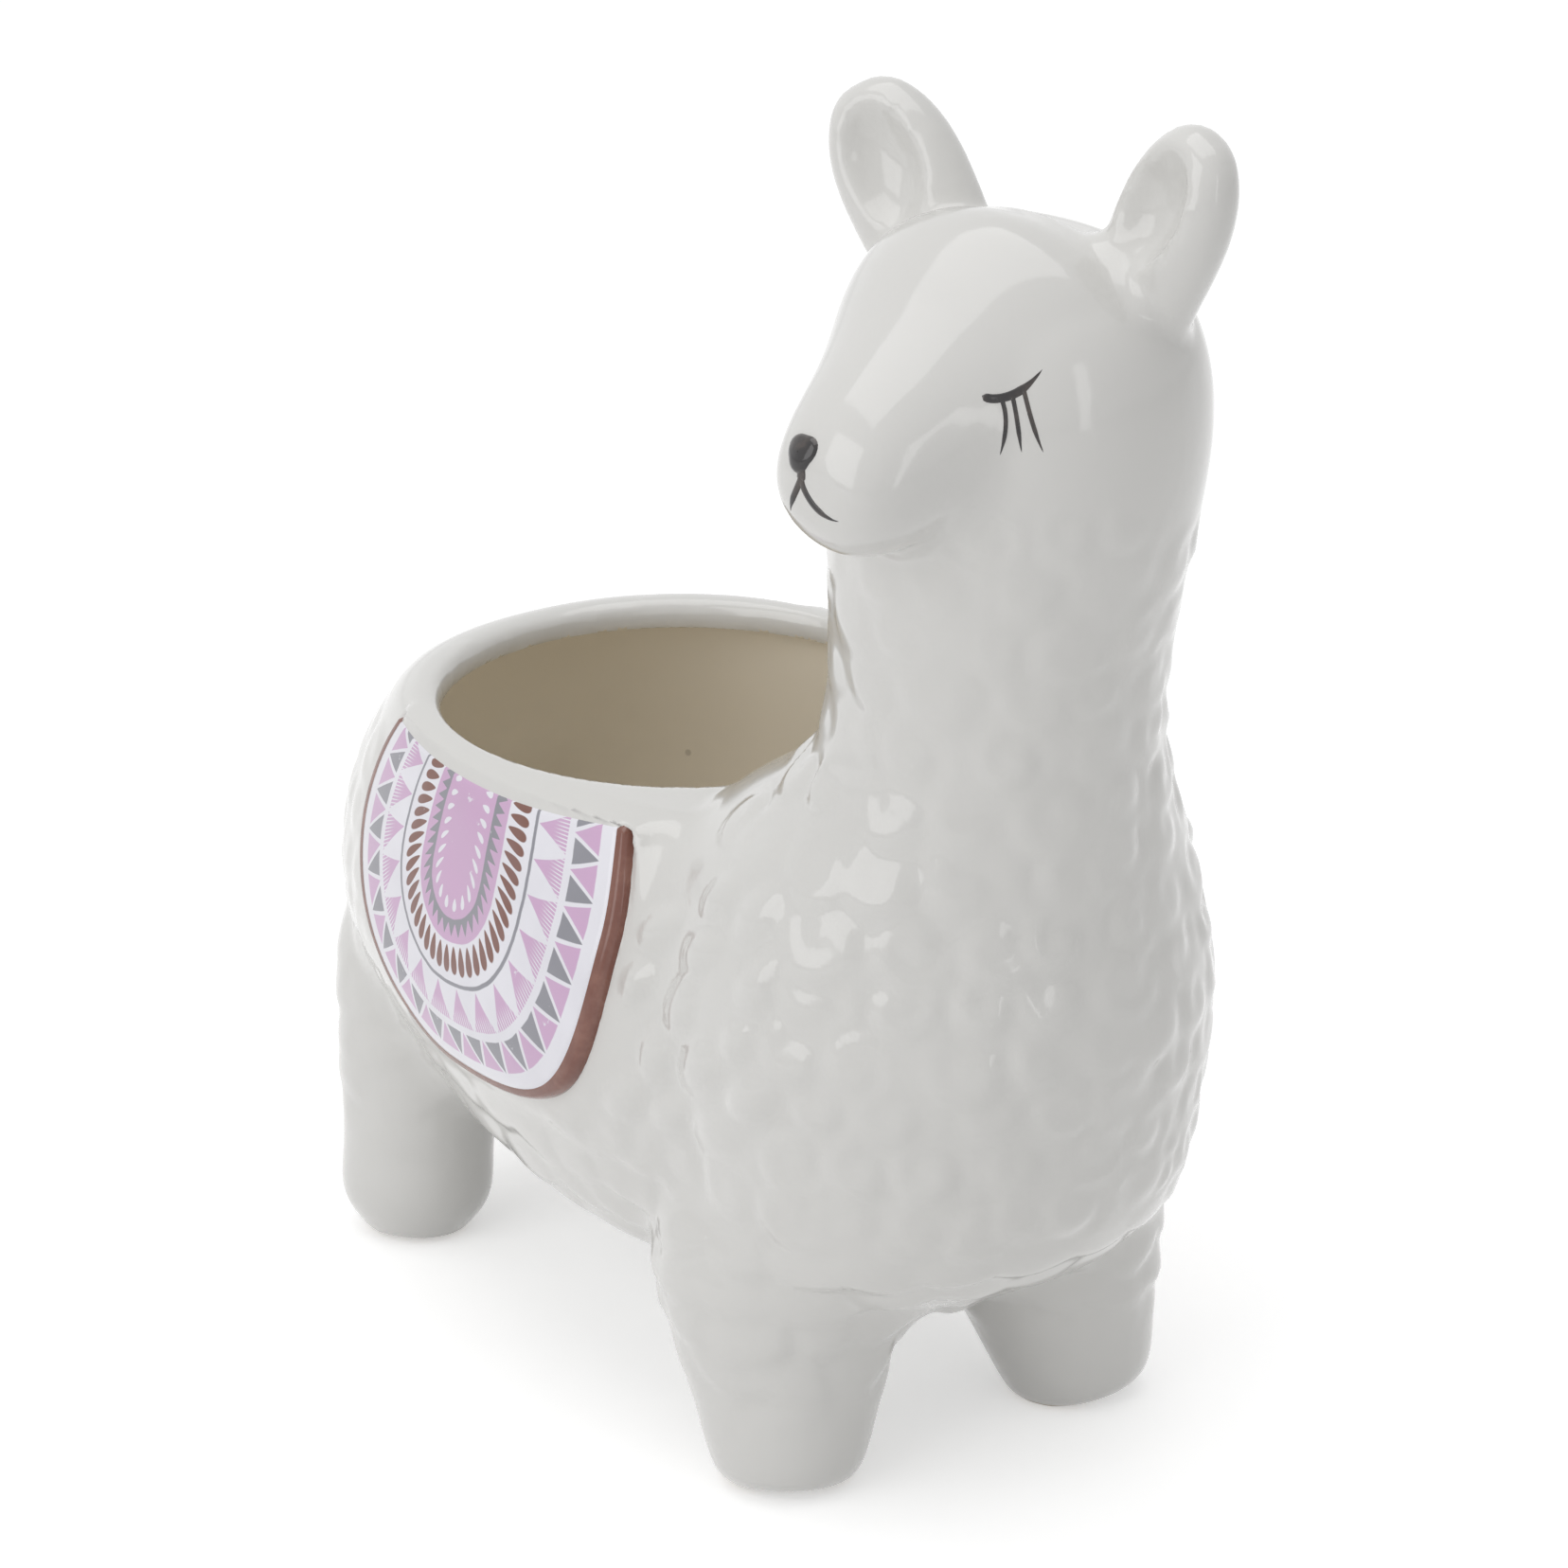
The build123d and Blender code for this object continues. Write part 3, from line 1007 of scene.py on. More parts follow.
@dataclass(frozen=True)
class Hollow:
    """Where the casting is hollow: the bowl, and the throat that runs from it up into the neck.

    The hollow's middle line runs level through the bowl and turns up into the neck.
    """

    bowl_middle: float = 20.0
    bowl_middle_height: float = 50.0
    bowl_heights: tuple[float, float] = (21.5, 76.6)
    neck_middle: float = -44.0
    neck_behind: float = -12.0
    neck_heights: tuple[float, float] = (45.0, 143.0)
    turn_back: Ramp = Ramp(-34, -8)
    throat_middle: float = -46.0
    throat_radius: float = 21.0
    throat_behind: float = -16.0
    throat_heights: tuple[float, float] = (60.0, 158.0)
    start_radius: float = 22.0
    start_height: float = 60.0
    most_rings: int = 400

    def mark(self, skin: EvenSkin) -> None:
        """Marks the points of the hollow, which face its middle line and join up with the bowl.

        Args:
            skin: the casting's skin.
        """
        x, y, z = skin.points.T
        middle_y = self.neck_middle + (self.bowl_middle - self.neck_middle) * self.turn_back(y)
        middle_z = np.where(y < self.neck_behind, np.clip(z, *self.neck_heights), self.bowl_middle_height)
        middle = np.stack([np.zeros_like(x), middle_y, middle_z], -1)
        facing = (skin.normals() * (skin.points - middle)).sum(-1) < 0
        bowl = (z > self.bowl_heights[0]) & (z < self.bowl_heights[1])
        throat = (z > self.throat_heights[0]) & (z < self.throat_heights[1]) & (y < self.throat_behind)
        throat &= np.hypot(x, y - self.throat_middle) < self.throat_radius
        allowed = (facing & (bowl | throat)).astype(float)
        start = (np.hypot(x, y - self.bowl_middle) < self.start_radius) & (z < self.start_height)
        reached = allowed * start
        for _ in range(self.most_rings):
            spread = ((reached + skin.neighbour_mean(reached)) > 0) * allowed
            if spread.sum() == reached.sum():
                break
            reached = spread
        skin.inside = reached


@dataclass(frozen=True)
class SoftJoins:
    """Where the sharp inner corners are filled, at which rise a corner counts, and how far it is filled."""

    rim_height: float = 79.5
    rim_band: Ramp = Ramp(2.2, 1.2)
    rim_front: float = -14.0
    above_feet: Ramp = Ramp(3.0, 7.0)
    thigh_rises: tuple[float, float] = (0.006, 0.03)
    thigh_rings: int = 13
    thigh_below: Ramp = Ramp(64, 52)
    thigh_above: Ramp = Ramp(8, 14)
    thigh_rounds: int = 115
    shoulder_behind: Ramp = Ramp(-48, -41)
    shoulder_before: Ramp = Ramp(-14, -20)
    shoulder_beside: Ramp = Ramp(12, 18)
    shoulder_above: Ramp = Ramp(24, 32)
    shoulder_below: Ramp = Ramp(88, 80)
    shoulder_rounds: int = 54
    body_below: Ramp = Ramp(150, 142)
    head_rises: tuple[float, float] = (0.03, 0.09)
    body_rises: tuple[float, float] = (0.012, 0.045)
    corner_rings: int = 5
    corner_rounds: int = 98

    def soften(self, skin: EvenSkin) -> None:
        """Fills the corners where limbs, ears and snout meet the body.

        The thighs are filled furthest, then the shoulders, then every other corner. The hollow, the
        rim's underside and the feet are left alone.

        Args:
            skin: the casting's skin, whose points move.
        """
        x, y, z = skin.points.T
        kept = (1 - skin.inside) * (1 - self.rim_band(np.abs(z - self.rim_height)) * (y > self.rim_front))
        kept *= self.above_feet(z)
        thighs = skin.hollow_marks(*self.thigh_rises, self.thigh_rings)
        skin.relax(thighs * self.thigh_below(z) * self.thigh_above(z) * kept, self.thigh_rounds)
        x, y, z = skin.points.T
        shoulder = self.shoulder_behind(y) * self.shoulder_before(y) * self.shoulder_beside(np.abs(x))
        shoulder *= self.shoulder_above(z) * self.shoulder_below(z)
        skin.relax(shoulder * kept, self.shoulder_rounds)
        body = self.body_below(skin.points[:, 2])
        low, high = (head + (lower - head) * body for head, lower in zip(self.head_rises, self.body_rises))
        skin.relax(skin.hollow_marks(low, high, self.corner_rings) * kept, self.corner_rounds)


@dataclass(frozen=True)
class BlanketPads:
    """The raised pads under the blankets, pressed in the clay of the flanks.

    Margins are distances inside the outline at which the flank starts to be drawn to its bare skin
    and is drawn fully.
    """

    relief: float = 1.25
    lower: Ramp = Ramp(74, 60)
    upper_margin: tuple[float, float] = (-2.8, -1.4)
    lower_margin: tuple[float, float] = (-7.8, -4.8)
    below_rim: Ramp = Ramp(79.4, 78.8)
    least_reach: float = 15.0
    lowest: float = 36.0
    facing: Ramp = Ramp(0.1, 0.4)
    edge: Ramp = Ramp(-0.9, 0.5)
    longest_move: Ramp = Ramp(3.2, 2.0)

    def shape(self, skin: EvenSkin, flanks: dict[Side, Flank], outline: BlanketOutline) -> None:
        """Draws the flanks to their bare skin and raises the pads inside the blanket's outline.

        Args:
            skin: the casting's skin, whose points move.
            flanks: the fitted bare skins.
            outline: the blanket's outline.
        """
        normals = skin.normals()
        for side, flank in flanks.items():
            x, y, z = skin.points.T
            depth = outline.inset(y, z)
            lower = self.lower(z)
            margins = zip(self.upper_margin, self.lower_margin)
            start, full = (upper + (low - upper) * lower for upper, low in margins)
            zone = smooth_step(start, full, depth) * self.below_rim(z)
            zone *= (skin.inside < 0.5) & (x * side.value > self.least_reach) & (z > self.lowest)
            zone *= self.facing(normals[:, 0] * side.value)
            move = flank.point(y, z, self.relief * self.edge(depth)) - skin.points
            zone *= self.longest_move(np.linalg.norm(move, axis=1))
            skin.points += zone[:, None] * move


# ---------------------------------------------------------------- wool


@dataclass(frozen=True)
class WoolZones:
    """How much wool each part carries: none on the face, feet, rim and blankets, less on the rump.

    The hairline rises with the way forward along the gaze.
    """

    hairline: float = 129.4
    hairline_slope: float = 0.34
    hairline_span: tuple[float, float] = (-20.0, 24.0)
    hairline_fade: Ramp = Ramp(1.2, -2.4)
    snout_from: Ramp = Ramp(21, 25)
    snout_above: Ramp = Ramp(112, 118)
    above_feet: Ramp = Ramp(9, 17)
    rim_above: Ramp = Ramp(70.5, 76.5)
    rim_behind: Ramp = Ramp(-27, -21)
    flank_facing: float = 1.6
    flank_beside: Ramp = Ramp(12, 20)
    blanket_margin: Ramp = Ramp(-5, -2)
    rump_behind: Ramp = Ramp(10, 36)
    rump_loss: float = 0.55
    neck_above: Ramp = Ramp(95, 110)
    neck_loss: float = 0.25
    belly_facing: Ramp = Ramp(-0.55, -0.85)
    belly_behind: Ramp = Ramp(-22, -8)
    hollow_rises: tuple[float, float] = (0.012, 0.04)
    hollow_rings: int = 3
    hollow_loss: float = 0.8

    def share(self, skin: EvenSkin, outline: BlanketOutline, head: HeadFrame) -> Array:
        """Works out each point's share of the wool.

        Args:
            skin: the casting's skin.
            outline: the blanket's outline.
            head: the head's frame.

        Returns:
            Shares from 0 to 1.
        """
        x, y, z = skin.points.T
        facing_x, _, facing_z = skin.normals().T
        forward = (skin.points - np.array(head.middle)) @ head.gaze()
        hairline = self.hairline + self.hairline_slope * np.clip(forward, *self.hairline_span)
        share = self.hairline_fade(z - hairline) * (1 - skin.inside)
        share *= 1 - self.snout_from(forward) * self.snout_above(z)
        share *= self.above_feet(z)
        share *= 1 - self.rim_above(z) * self.rim_behind(y)
        flank = np.clip(np.abs(facing_x) * self.flank_facing, 0, 1) * self.flank_beside(np.abs(x))
        share *= 1 - flank * self.blanket_margin(outline.inset(y, z))
        share *= 1 - self.rump_loss * self.rump_behind(y)
        share *= 1 - self.neck_loss * self.neck_above(z)
        share *= 1 - self.belly_facing(facing_z) * self.belly_behind(y)
        return share * (1 - self.hollow_loss * skin.hollow_marks(*self.hollow_rises, self.hollow_rings))


@dataclass(frozen=True)
class CurlRows:
    """Rows of curl places round the body, closer together on the legs than above them."""

    pitch: float = 9.6
    row_pitch: float = 7.3
    leg_row_pitch: float = 5.6
    lowest: float = 13.0
    leg_top: float = 42.0
    highest: float = 139.0
    neck_from: float = 82.0
    neck_middle: float = -46.0
    barrel_middle: float = -4.0
    slice_half: float = 0.8
    angles: int = 240
    nudge: float = 0.2
    least_share: float = 0.2
    furthest: float = 2.0
    seed: int = 7

    def ring(self, points: Array, centre: Array) -> Array:
        """The outline of some points round a centre: the furthest one in each of many narrow angles.

        Args:
            points: X and Y of the points near one height.
            centre: X and Y of the centre.

        Returns:
            X and Y round the outline, with the first point once more at the end.
        """
        offset = points - centre
        turned = (np.arctan2(offset[:, 0], -offset[:, 1]) / np.pi + 1) * self.angles / 2
        reach = np.zeros(self.angles)
        np.maximum.at(reach, turned.astype(int) % self.angles, np.linalg.norm(offset, axis=1))
        filled = np.flatnonzero(reach > 0)
        reach = np.interp(np.arange(self.angles), filled, reach[filled], period=self.angles)
        reach = np.append(reach, reach[0])
        angle = (2 * (np.arange(self.angles + 1) + 0.5) / self.angles - 1) * np.pi
        return centre + np.stack([reach * np.sin(angle), -reach * np.cos(angle)], -1)

    def places(self, skin: EvenSkin, share: Array) -> Array:
        """Indices of the points at which curls are pressed, lowest row first.

        Places are spaced evenly along each row's outline by the pitch, every other row is shifted by
        half a pitch, and each place is nudged a little.

        Args:
            skin: the casting's skin.
            share: how much wool each point carries.

        Returns:
            Point indices.
        """
        chance = np.random.default_rng(self.seed)
        leg_rows = np.arange(self.lowest, self.leg_top, self.leg_row_pitch)
        body_rows = np.arange(self.leg_top, self.highest, self.row_pitch)
        chosen = []
        for row, level in enumerate((*leg_rows, *body_rows)):
            centre = np.array([0.0, self.neck_middle if level > self.neck_from else self.barrel_middle])
            near = np.flatnonzero((np.abs(skin.points[:, 2] - level) < self.slice_half) & (skin.inside < 0.5))
            flat = skin.points[near][:, :2]
            ring = self.ring(flat, centre)
            length = np.concatenate([[0], np.cumsum(np.linalg.norm(np.diff(ring, axis=0), axis=1))])
            count = int(length[-1] / self.pitch)
            nudge = chance.uniform(-self.nudge, self.nudge, count)
            spaced = (np.arange(count) + 0.5 * (row % 2) + nudge) * length[-1] / count
            goal = np.stack([np.interp(spaced, length, places) for places in ring.T], -1)
            away = np.linalg.norm(goal[:, None] - flat[None], axis=-1)
            found = near[away.argmin(1)]
            kept = (share[found] > self.least_share) & (away.min(1) < self.furthest)
            chosen.extend(found[kept].tolist())
        return np.array(chosen)


@dataclass(frozen=True)
class CurlShape:
    """One kind of pressed curl: its size, how it is drawn out and how strongly it winds and tilts."""

    radius: float
    wide: float
    long: float
    dome: float
    tilt: float
    edge: float
    slant: float = 0.0
    winding: float = 0.0
    turns: float = 0.0


@dataclass(frozen=True)
class CurlVariety:
    """How far single curls stray from their kind."""

    slant: tuple[float, float] = (-0.4, 0.4)
    size: tuple[float, float] = (0.8, 1.2)
    right_handed: float = 0.6
    phase: tuple[float, float] = (-1.4, 1.4)
    strength: tuple[float, float] = (0.5, 1.0)
    twist: tuple[float, float] = (0.45, 1.05)


@dataclass(frozen=True)
class Wool:
    """The wool pressed into the casting: overlapping curls, the upper rows over the lower ones."""

    zones: WoolZones = WoolZones()
    rows: CurlRows = CurlRows()
    variety: CurlVariety = CurlVariety()
    round_curl: CurlShape = CurlShape(
        6.0, 1.0, 0.95, dome=0.36, tilt=0.22, edge=0.72, winding=0.21, turns=1.15
    )
    shoulder_lock: CurlShape = CurlShape(4.3, 0.85, 1.4, dome=1.15, tilt=0.20, edge=0.66, slant=0.65)
    leg_crescent: CurlShape = CurlShape(4.7, 1.5, 1.0, dome=0.30, tilt=0.60, edge=0.82)
    crescent_gap: float = 2.0
    lock_facing: float = 0.42
    lock_places: tuple[float, float] = (-46.0, 4.0)
    lock_heights: tuple[float, float] = (44.0, 84.0)
    height: float = 1.8
    resting: float = 0.5
    crown: float = 0.6
    tilt_floor: float = -0.3
    ridge_from: Ramp = Ramp(0.05, 0.4)
    search_margin: float = 1.2
    thickness: float = 0.9
    out_of_reach: float = 9.0
    smoothing_rounds: int = 2
    groove_depth: Ramp = Ramp(0.42, 0.12)

    def kind(self, place: Array, normal: Array) -> CurlShape:
        """Picks a crescent low on a leg, a slanting lock on a shoulder, and a round curl elsewhere.

        Args:
            place: the curl's middle.
            normal: the skin's normal there.

        Returns:
            The curl's kind.
        """
        if place[2] < self.rows.leg_top - self.crescent_gap:
            return self.leg_crescent
        (rear, front), (low, high) = self.lock_places, self.lock_heights
        if abs(normal[0]) > self.lock_facing and rear < place[1] < front and low < place[2] < high:
            return self.shoulder_lock
        return self.round_curl

    def curl_height(
        self, kind: CurlShape, a: Array, b: Array, ring: Array, radius: float, wind: tuple[float, ...]
    ) -> Array:
        """One curl's height over its own plane, before its strength.

        It is a dome, plus a ridge that winds in a spiral (the cosine of the turns from the middle less
        the angle), plus a tilt that lifts its lower edge.

        Args:
            kind: the curl's kind.
            a: places across it.
            b: places down it.
            ring: distances from its middle, 1 at its outline.
            radius: its radius.
            wind: how tightly it winds, its hand and its phase.

        Returns:
            The heights.
        """
        twist, hand, phase = wind
        turns = ring * kind.turns * twist - hand * np.arctan2(b, a) / (2 * np.pi)
        ridge = kind.winding * np.cos(2 * np.pi * turns + phase) * self.ridge_from(ring)
        tilt = kind.tilt * np.maximum(b / radius, self.tilt_floor)
        return kind.dome * (self.crown - ring**2) + tilt + ridge

    def press(self, skin: EvenSkin, outline: BlanketOutline, head: HeadFrame) -> None:
        """Presses the curls into the skin and notes how deep the grooves between them are.

        Each curl has its own strength, so some of them almost vanish under the glaze.

        Args:
            skin: the casting's skin, whose points move.
            outline: the blanket's outline.
            head: the head's frame.
        """
        share = self.zones.share(skin, outline, head)
        normals = skin.normals()
        vary = self.variety
        chance = np.random.default_rng(self.rows.seed + 1)
        height = np.full(len(skin.points), self.resting)
        for index in self.rows.places(skin, share):
            centre, normal = skin.points[index], normals[index]
            kind = self.kind(centre, normal)
            slant = -kind.slant * math.copysign(1, centre[0]) + chance.uniform(*vary.slant)
            radius = kind.radius * chance.uniform(*vary.size)
            hand = 1.0 if chance.uniform() < vary.right_handed else -1.0
            limits = (vary.phase, vary.strength, vary.twist)
            phase, strength, twist = (chance.uniform(low, high) for low, high in limits)
            reach = radius * max(kind.wide, kind.long) * self.search_margin
            near = np.flatnonzero(np.abs(skin.points - centre).max(-1) < reach)
            offset = skin.points[near] - centre
            down = unit(np.array([0.0, 0.0, -1.0]) + normal * normal[2])
            a, b = offset @ np.cross(normal, down), offset @ down
            a, b = a * math.cos(slant) + b * math.sin(slant), b * math.cos(slant) - a * math.sin(slant)
            a, b = a / kind.wide, b / kind.long
            ring = np.hypot(a, b) / radius
            ring += self.out_of_reach * (np.abs(offset @ normal) > radius * self.thickness)
            curl = self.curl_height(kind, a, b, ring, radius, (twist, hand, phase))
            cover = smooth_step(1.0, kind.edge, ring)
            height[near] += cover * (self.resting + strength * curl - height[near])
        for _ in range(self.smoothing_rounds):
            height += skin.relax_step * (skin.neighbour_mean(height) - height)
        # groove depth, which the glaze turns into painted shade in the recesses between curls
        skin.groove = self.groove_depth(height) * share
        skin.points += normals * (share * self.height * (height - self.resting))[:, None]


# ---------------------------------------------------------------- casting


@dataclass(frozen=True)
class Casting:
    """The one-piece casting, made in order: even skin, softened joins, raised pads and pressed wool."""

    hollow: Hollow = Hollow()
    joins: SoftJoins = SoftJoins()
    pads: BlanketPads = BlanketPads()
    wool: Wool = Wool()
    first_rounds: int = 9
    pad_rounds: int = 3
    last_rounds: int = 1
    # the outer glaze's second colour is the painted shade of the wool's grooves, mixed with a random cloudy
    # tone
    outer_glaze: GlazeFinish = GlazeFinish("white_glaze", coat=(223, 222, 219), shade_and_cloud=(199, 197, 193))
    inner_glaze: GlazeFinish = GlazeFinish(
        "bowl_glaze", coat=(243, 235, 219), shade_and_cloud=(230, 219, 200), roughness=0.14, fleck_share=0.3
    )

    def build(
        self, outline: BlanketOutline, head: HeadFrame, box: Array
    ) -> tuple[EvenSkin, dict[Side, Flank]]:
        """Makes the casting's two pieces: its skin, and the hollow's lining from under the lip.

        Args:
            outline: the blanket's outline.
            head: the head's frame.
            box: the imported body's two corners, in millimetres, which the wool stays inside.

        Returns:
            The finished skin, and the bare skin of each flank.
        """
        skin = EvenSkin()
        self.hollow.mark(skin)
        normals, outside = skin.normals(), skin.inside < 0.5
        flanks = {side: Flank(side) for side in Side}
        for flank in flanks.values():
            flank.fit(skin.points[outside], normals[outside])
        skin.even_out(self.first_rounds)
        self.joins.soften(skin)
        self.pads.shape(skin, flanks, outline)
        skin.even_out(self.pad_rounds)
        self.wool.press(skin, outline, head)
        skin.even_out(self.last_rounds)
        skin.points = np.clip(skin.points, box[0], box[1])
        lining = skin.inside[skin.faces].mean(1) > 0.5
        outer, inner = skin.part("casting_skin", ~lining), skin.part("bowl_lining", lining)
        hand_over(outer, self.outer_glaze.build(), "white_glaze", "planter_casting")
        hand_over(inner, self.inner_glaze.build(), "white_glaze")
        return skin, flanks


# ---------------------------------------------------------------- blanket


@dataclass(frozen=True)
class Blanket:
    """One raised saddle blanket: the fired print on its top and the brown border down its edge."""

    side: Side
    flank: Flank
    outline: BlanketOutline
    relief: float
    print_film: float = 0.16
    print_tuck: float = 0.2
    border_sink: float = 0.2
    rows: int = 46
    row_growth: float = 1.1
    columns: int = 240
    border_top: float = 0.55
    border_foot: float = 1.15
    border_rows: int = 9
    border_film: float = 0.22
    border_tuck: float = 0.02
    border_fall: float = 0.8
    root_share: float = 1.1
    root_depth: float = 1.9
    end_share: float = 0.008
    end_drop: float = 0.5

    def surface(self, width: Array, proud: Array, turned_on: Side) -> tuple[Array, Array, Array]:
        """A grid of half widths and ways along the U, laid on the flank.

        Args:
            width: half width for each row.
            proud: height above the bare skin for each row.
            turned_on: the flank on which the quads are turned over, so that they face outwards.

        Returns:
            The points, row after row, the quads and the texture places.
        """
        grid_along, grid_width = np.meshgrid(np.linspace(0, 1, self.columns), width)
        y, z = self.outline.point(grid_along, grid_width)
        ends = smooth_step(self.end_share, 0, np.minimum(grid_along, 1 - grid_along))
        points = self.flank.point(y, z, proud[:, None] - self.end_drop * ends)
        step = np.linalg.norm(np.diff(points, axis=1), axis=-1)
        walked = np.concatenate([np.zeros((len(width), 1)), np.cumsum(step, 1)], 1)
        share = walked / np.maximum(walked[:, -1:], 1e-6)
        inward = 1 - grid_width / self.outline.half_width
        faces = grid_faces(len(width), self.columns, False)
        if self.side is turned_on:
            faces = faces[:, ::-1]
        return points.reshape(-1, 3), faces, np.stack([share, inward], -1).reshape(-1, 2)

    def build(self, printed: bpy.types.Material, border: bpy.types.Material) -> None:
        """Makes the printed top, then the border: a quarter round over the pad's edge, with a root below.

        Args:
            printed: the print's material.
            border: the border's material.
        """
        name = self.side.name.lower()
        edge = self.outline.half_width
        width = (edge - self.border_top) * (1 - np.linspace(0, 1, self.rows) ** self.row_growth)
        proud = np.full(self.rows, self.relief + self.print_film)
        proud[0] = self.relief - self.print_tuck
        top = put_piece("blanket_print_" + name, *self.surface(width, proud, Side.RIGHT))
        hand_over(top, printed, "blanket_transfer", "blanket_transfer_" + name)
        turn = np.linspace(0, np.pi / 2, self.border_rows)
        foot = self.border_foot
        out = np.concatenate([[-2 * self.border_top], foot * np.sin(turn), [foot * self.root_share]])
        fall = (self.relief + self.border_sink) * (1 - np.cos(turn)) ** self.border_fall
        film = self.border_film * np.cos(turn)
        drop = np.concatenate([[self.border_tuck], film - fall, [-self.root_depth]])
        rim = put_piece("blanket_edge_" + name, *self.surface(edge + out, self.relief + drop, Side.LEFT))
        hand_over(rim, border, "brown_border", "blanket_border_" + name)


# ---------------------------------------------------------------- face


@dataclass(frozen=True)
class Stroke:
    """One brushed enamel stroke: a path over the skin, full in the middle and fine at its ends.

    The shares are those of the full width at the ends, and the swellings say how soon it is reached.
    """

    pixels: tuple[Pixel, ...]
    width: float
    start_share: float
    end_share: float
    start_swelling: float = 5.0
    end_swelling: float = 2.6
    tip_share: float = 0.02
    height: float = 0.13
    samples: int = 22
    ring: int = 10
    normal_rounds: int = 3

    def path(self, view: Viewpoint, tree: BVHTree) -> Array:
        """Points on the skin under the stroke's pixels, joined by the one polynomial through them.

        Args:
            view: the photograph's camera.
            tree: search tree over the skin.

        Returns:
            The path's points.
        """
        eye = Vector(view.place())
        knots = np.array([tree.ray_cast(eye, Vector(view.ray(pixel)))[0] for pixel in self.pixels], float)
        t = np.linspace(0, len(knots) - 1, self.samples)
        powers = np.vander(np.arange(len(knots)), len(knots))
        return np.vander(t, len(knots)) @ np.linalg.solve(powers, knots)

    def mesh(self, path: Array, tree: BVHTree) -> tuple[Array, Array]:
        """A lens-shaped profile carried along the path, closed to a point at both ends.

        Args:
            path: the stroke's middle line.
            tree: search tree over the skin.

        Returns:
            Points and quads, with doubled corners in the quads that close the ends.
        """
        found = [tree.find_nearest(Vector(p)) for p in path]
        middle = np.array([f[0] for f in found], float)
        normal = np.array([f[1] for f in found], float)
        for _ in range(self.normal_rounds):
            normal[1:-1] = unit(normal[:-2] + normal[1:-1] + normal[2:])
        across = unit(np.cross(unit(np.gradient(middle, axis=0)), normal))
        way = np.linspace(0, 1, len(middle))
        opening = self.start_share + way * self.start_swelling
        closing = self.end_share + (1 - way) * self.end_swelling
        full = np.minimum(opening, closing).clip(0, 1)
        full[[0, -1]] = self.tip_share
        turn = np.linspace(0, 2 * np.pi, self.ring, endpoint=False)
        side = (self.width / 2 * full)[:, None, None] * np.cos(turn)[None, :, None] * across[:, None]
        rise = (self.height * full)[:, None, None] * np.sin(turn)[None, :, None] * normal[:, None]
        points = (middle[:, None] + side + rise).reshape(-1, 3)
        base = np.arange(self.ring)
        caps = np.stack([np.roll(base, -1), base, base * 0, base * 0], -1)[1:-1]
        quads = grid_faces(len(middle), self.ring, True)
        return points, np.concatenate([quads, caps, len(points) - 1 - caps])


@dataclass(frozen=True)
class Nose:
    """The nose patch: rings of a soft triangle on the snout's tip, raised in the middle."""

    pixel: Pixel = (846, 478)
    half_width: float = 2.3
    half_height: float = 2.1
    three_corners: float = 0.11
    dome: float = 0.55
    film: float = 0.02
    tuck: float = 0.12
    smallest_ring: float = 0.02
    standoff: float = 4.0
    rings: int = 9
    steps: int = 36

    def mesh(self, view: Viewpoint, head: HeadFrame, tree: BVHTree) -> tuple[Array, Array]:
        """Casts rings of points back along the gaze to the skin, and lifts them in a half-round dome.

        Args:
            view: the photograph's camera.
            head: the head's frame.
            tree: search tree over the skin.

        Returns:
            Points and quads.
        """
        tip = np.array(tree.ray_cast(Vector(view.place()), Vector(view.ray(self.pixel)))[0])
        turn = np.linspace(0, 2 * np.pi, self.steps, endpoint=False)
        radius = np.linspace(self.smallest_ring, 1, self.rings)[:, None]
        outline = radius * (1 + self.three_corners * np.sin(3 * turn))
        a = outline * np.cos(turn) * self.half_width
        b = outline * np.sin(turn) * self.half_height
        start = tip + a[..., None] * head.left() + b[..., None] * np.array([0, 0, 1.0])
        start += head.gaze() * self.standoff
        way = Vector(-head.gaze())
        hits = [tree.ray_cast(Vector(p), way) for p in start.reshape(-1, 3)]
        points = np.array([h[0] for h in hits], float)
        normal = np.array([h[1] for h in hits], float)
        dome = self.dome * np.sqrt(np.clip(1 - radius**2, 0, 1))
        lift = (self.film + dome - self.tuck * (radius > 0.99)) * np.ones(self.steps)
        return points + normal * lift.reshape(-1)[:, None], grid_faces(self.rings, self.steps, True)


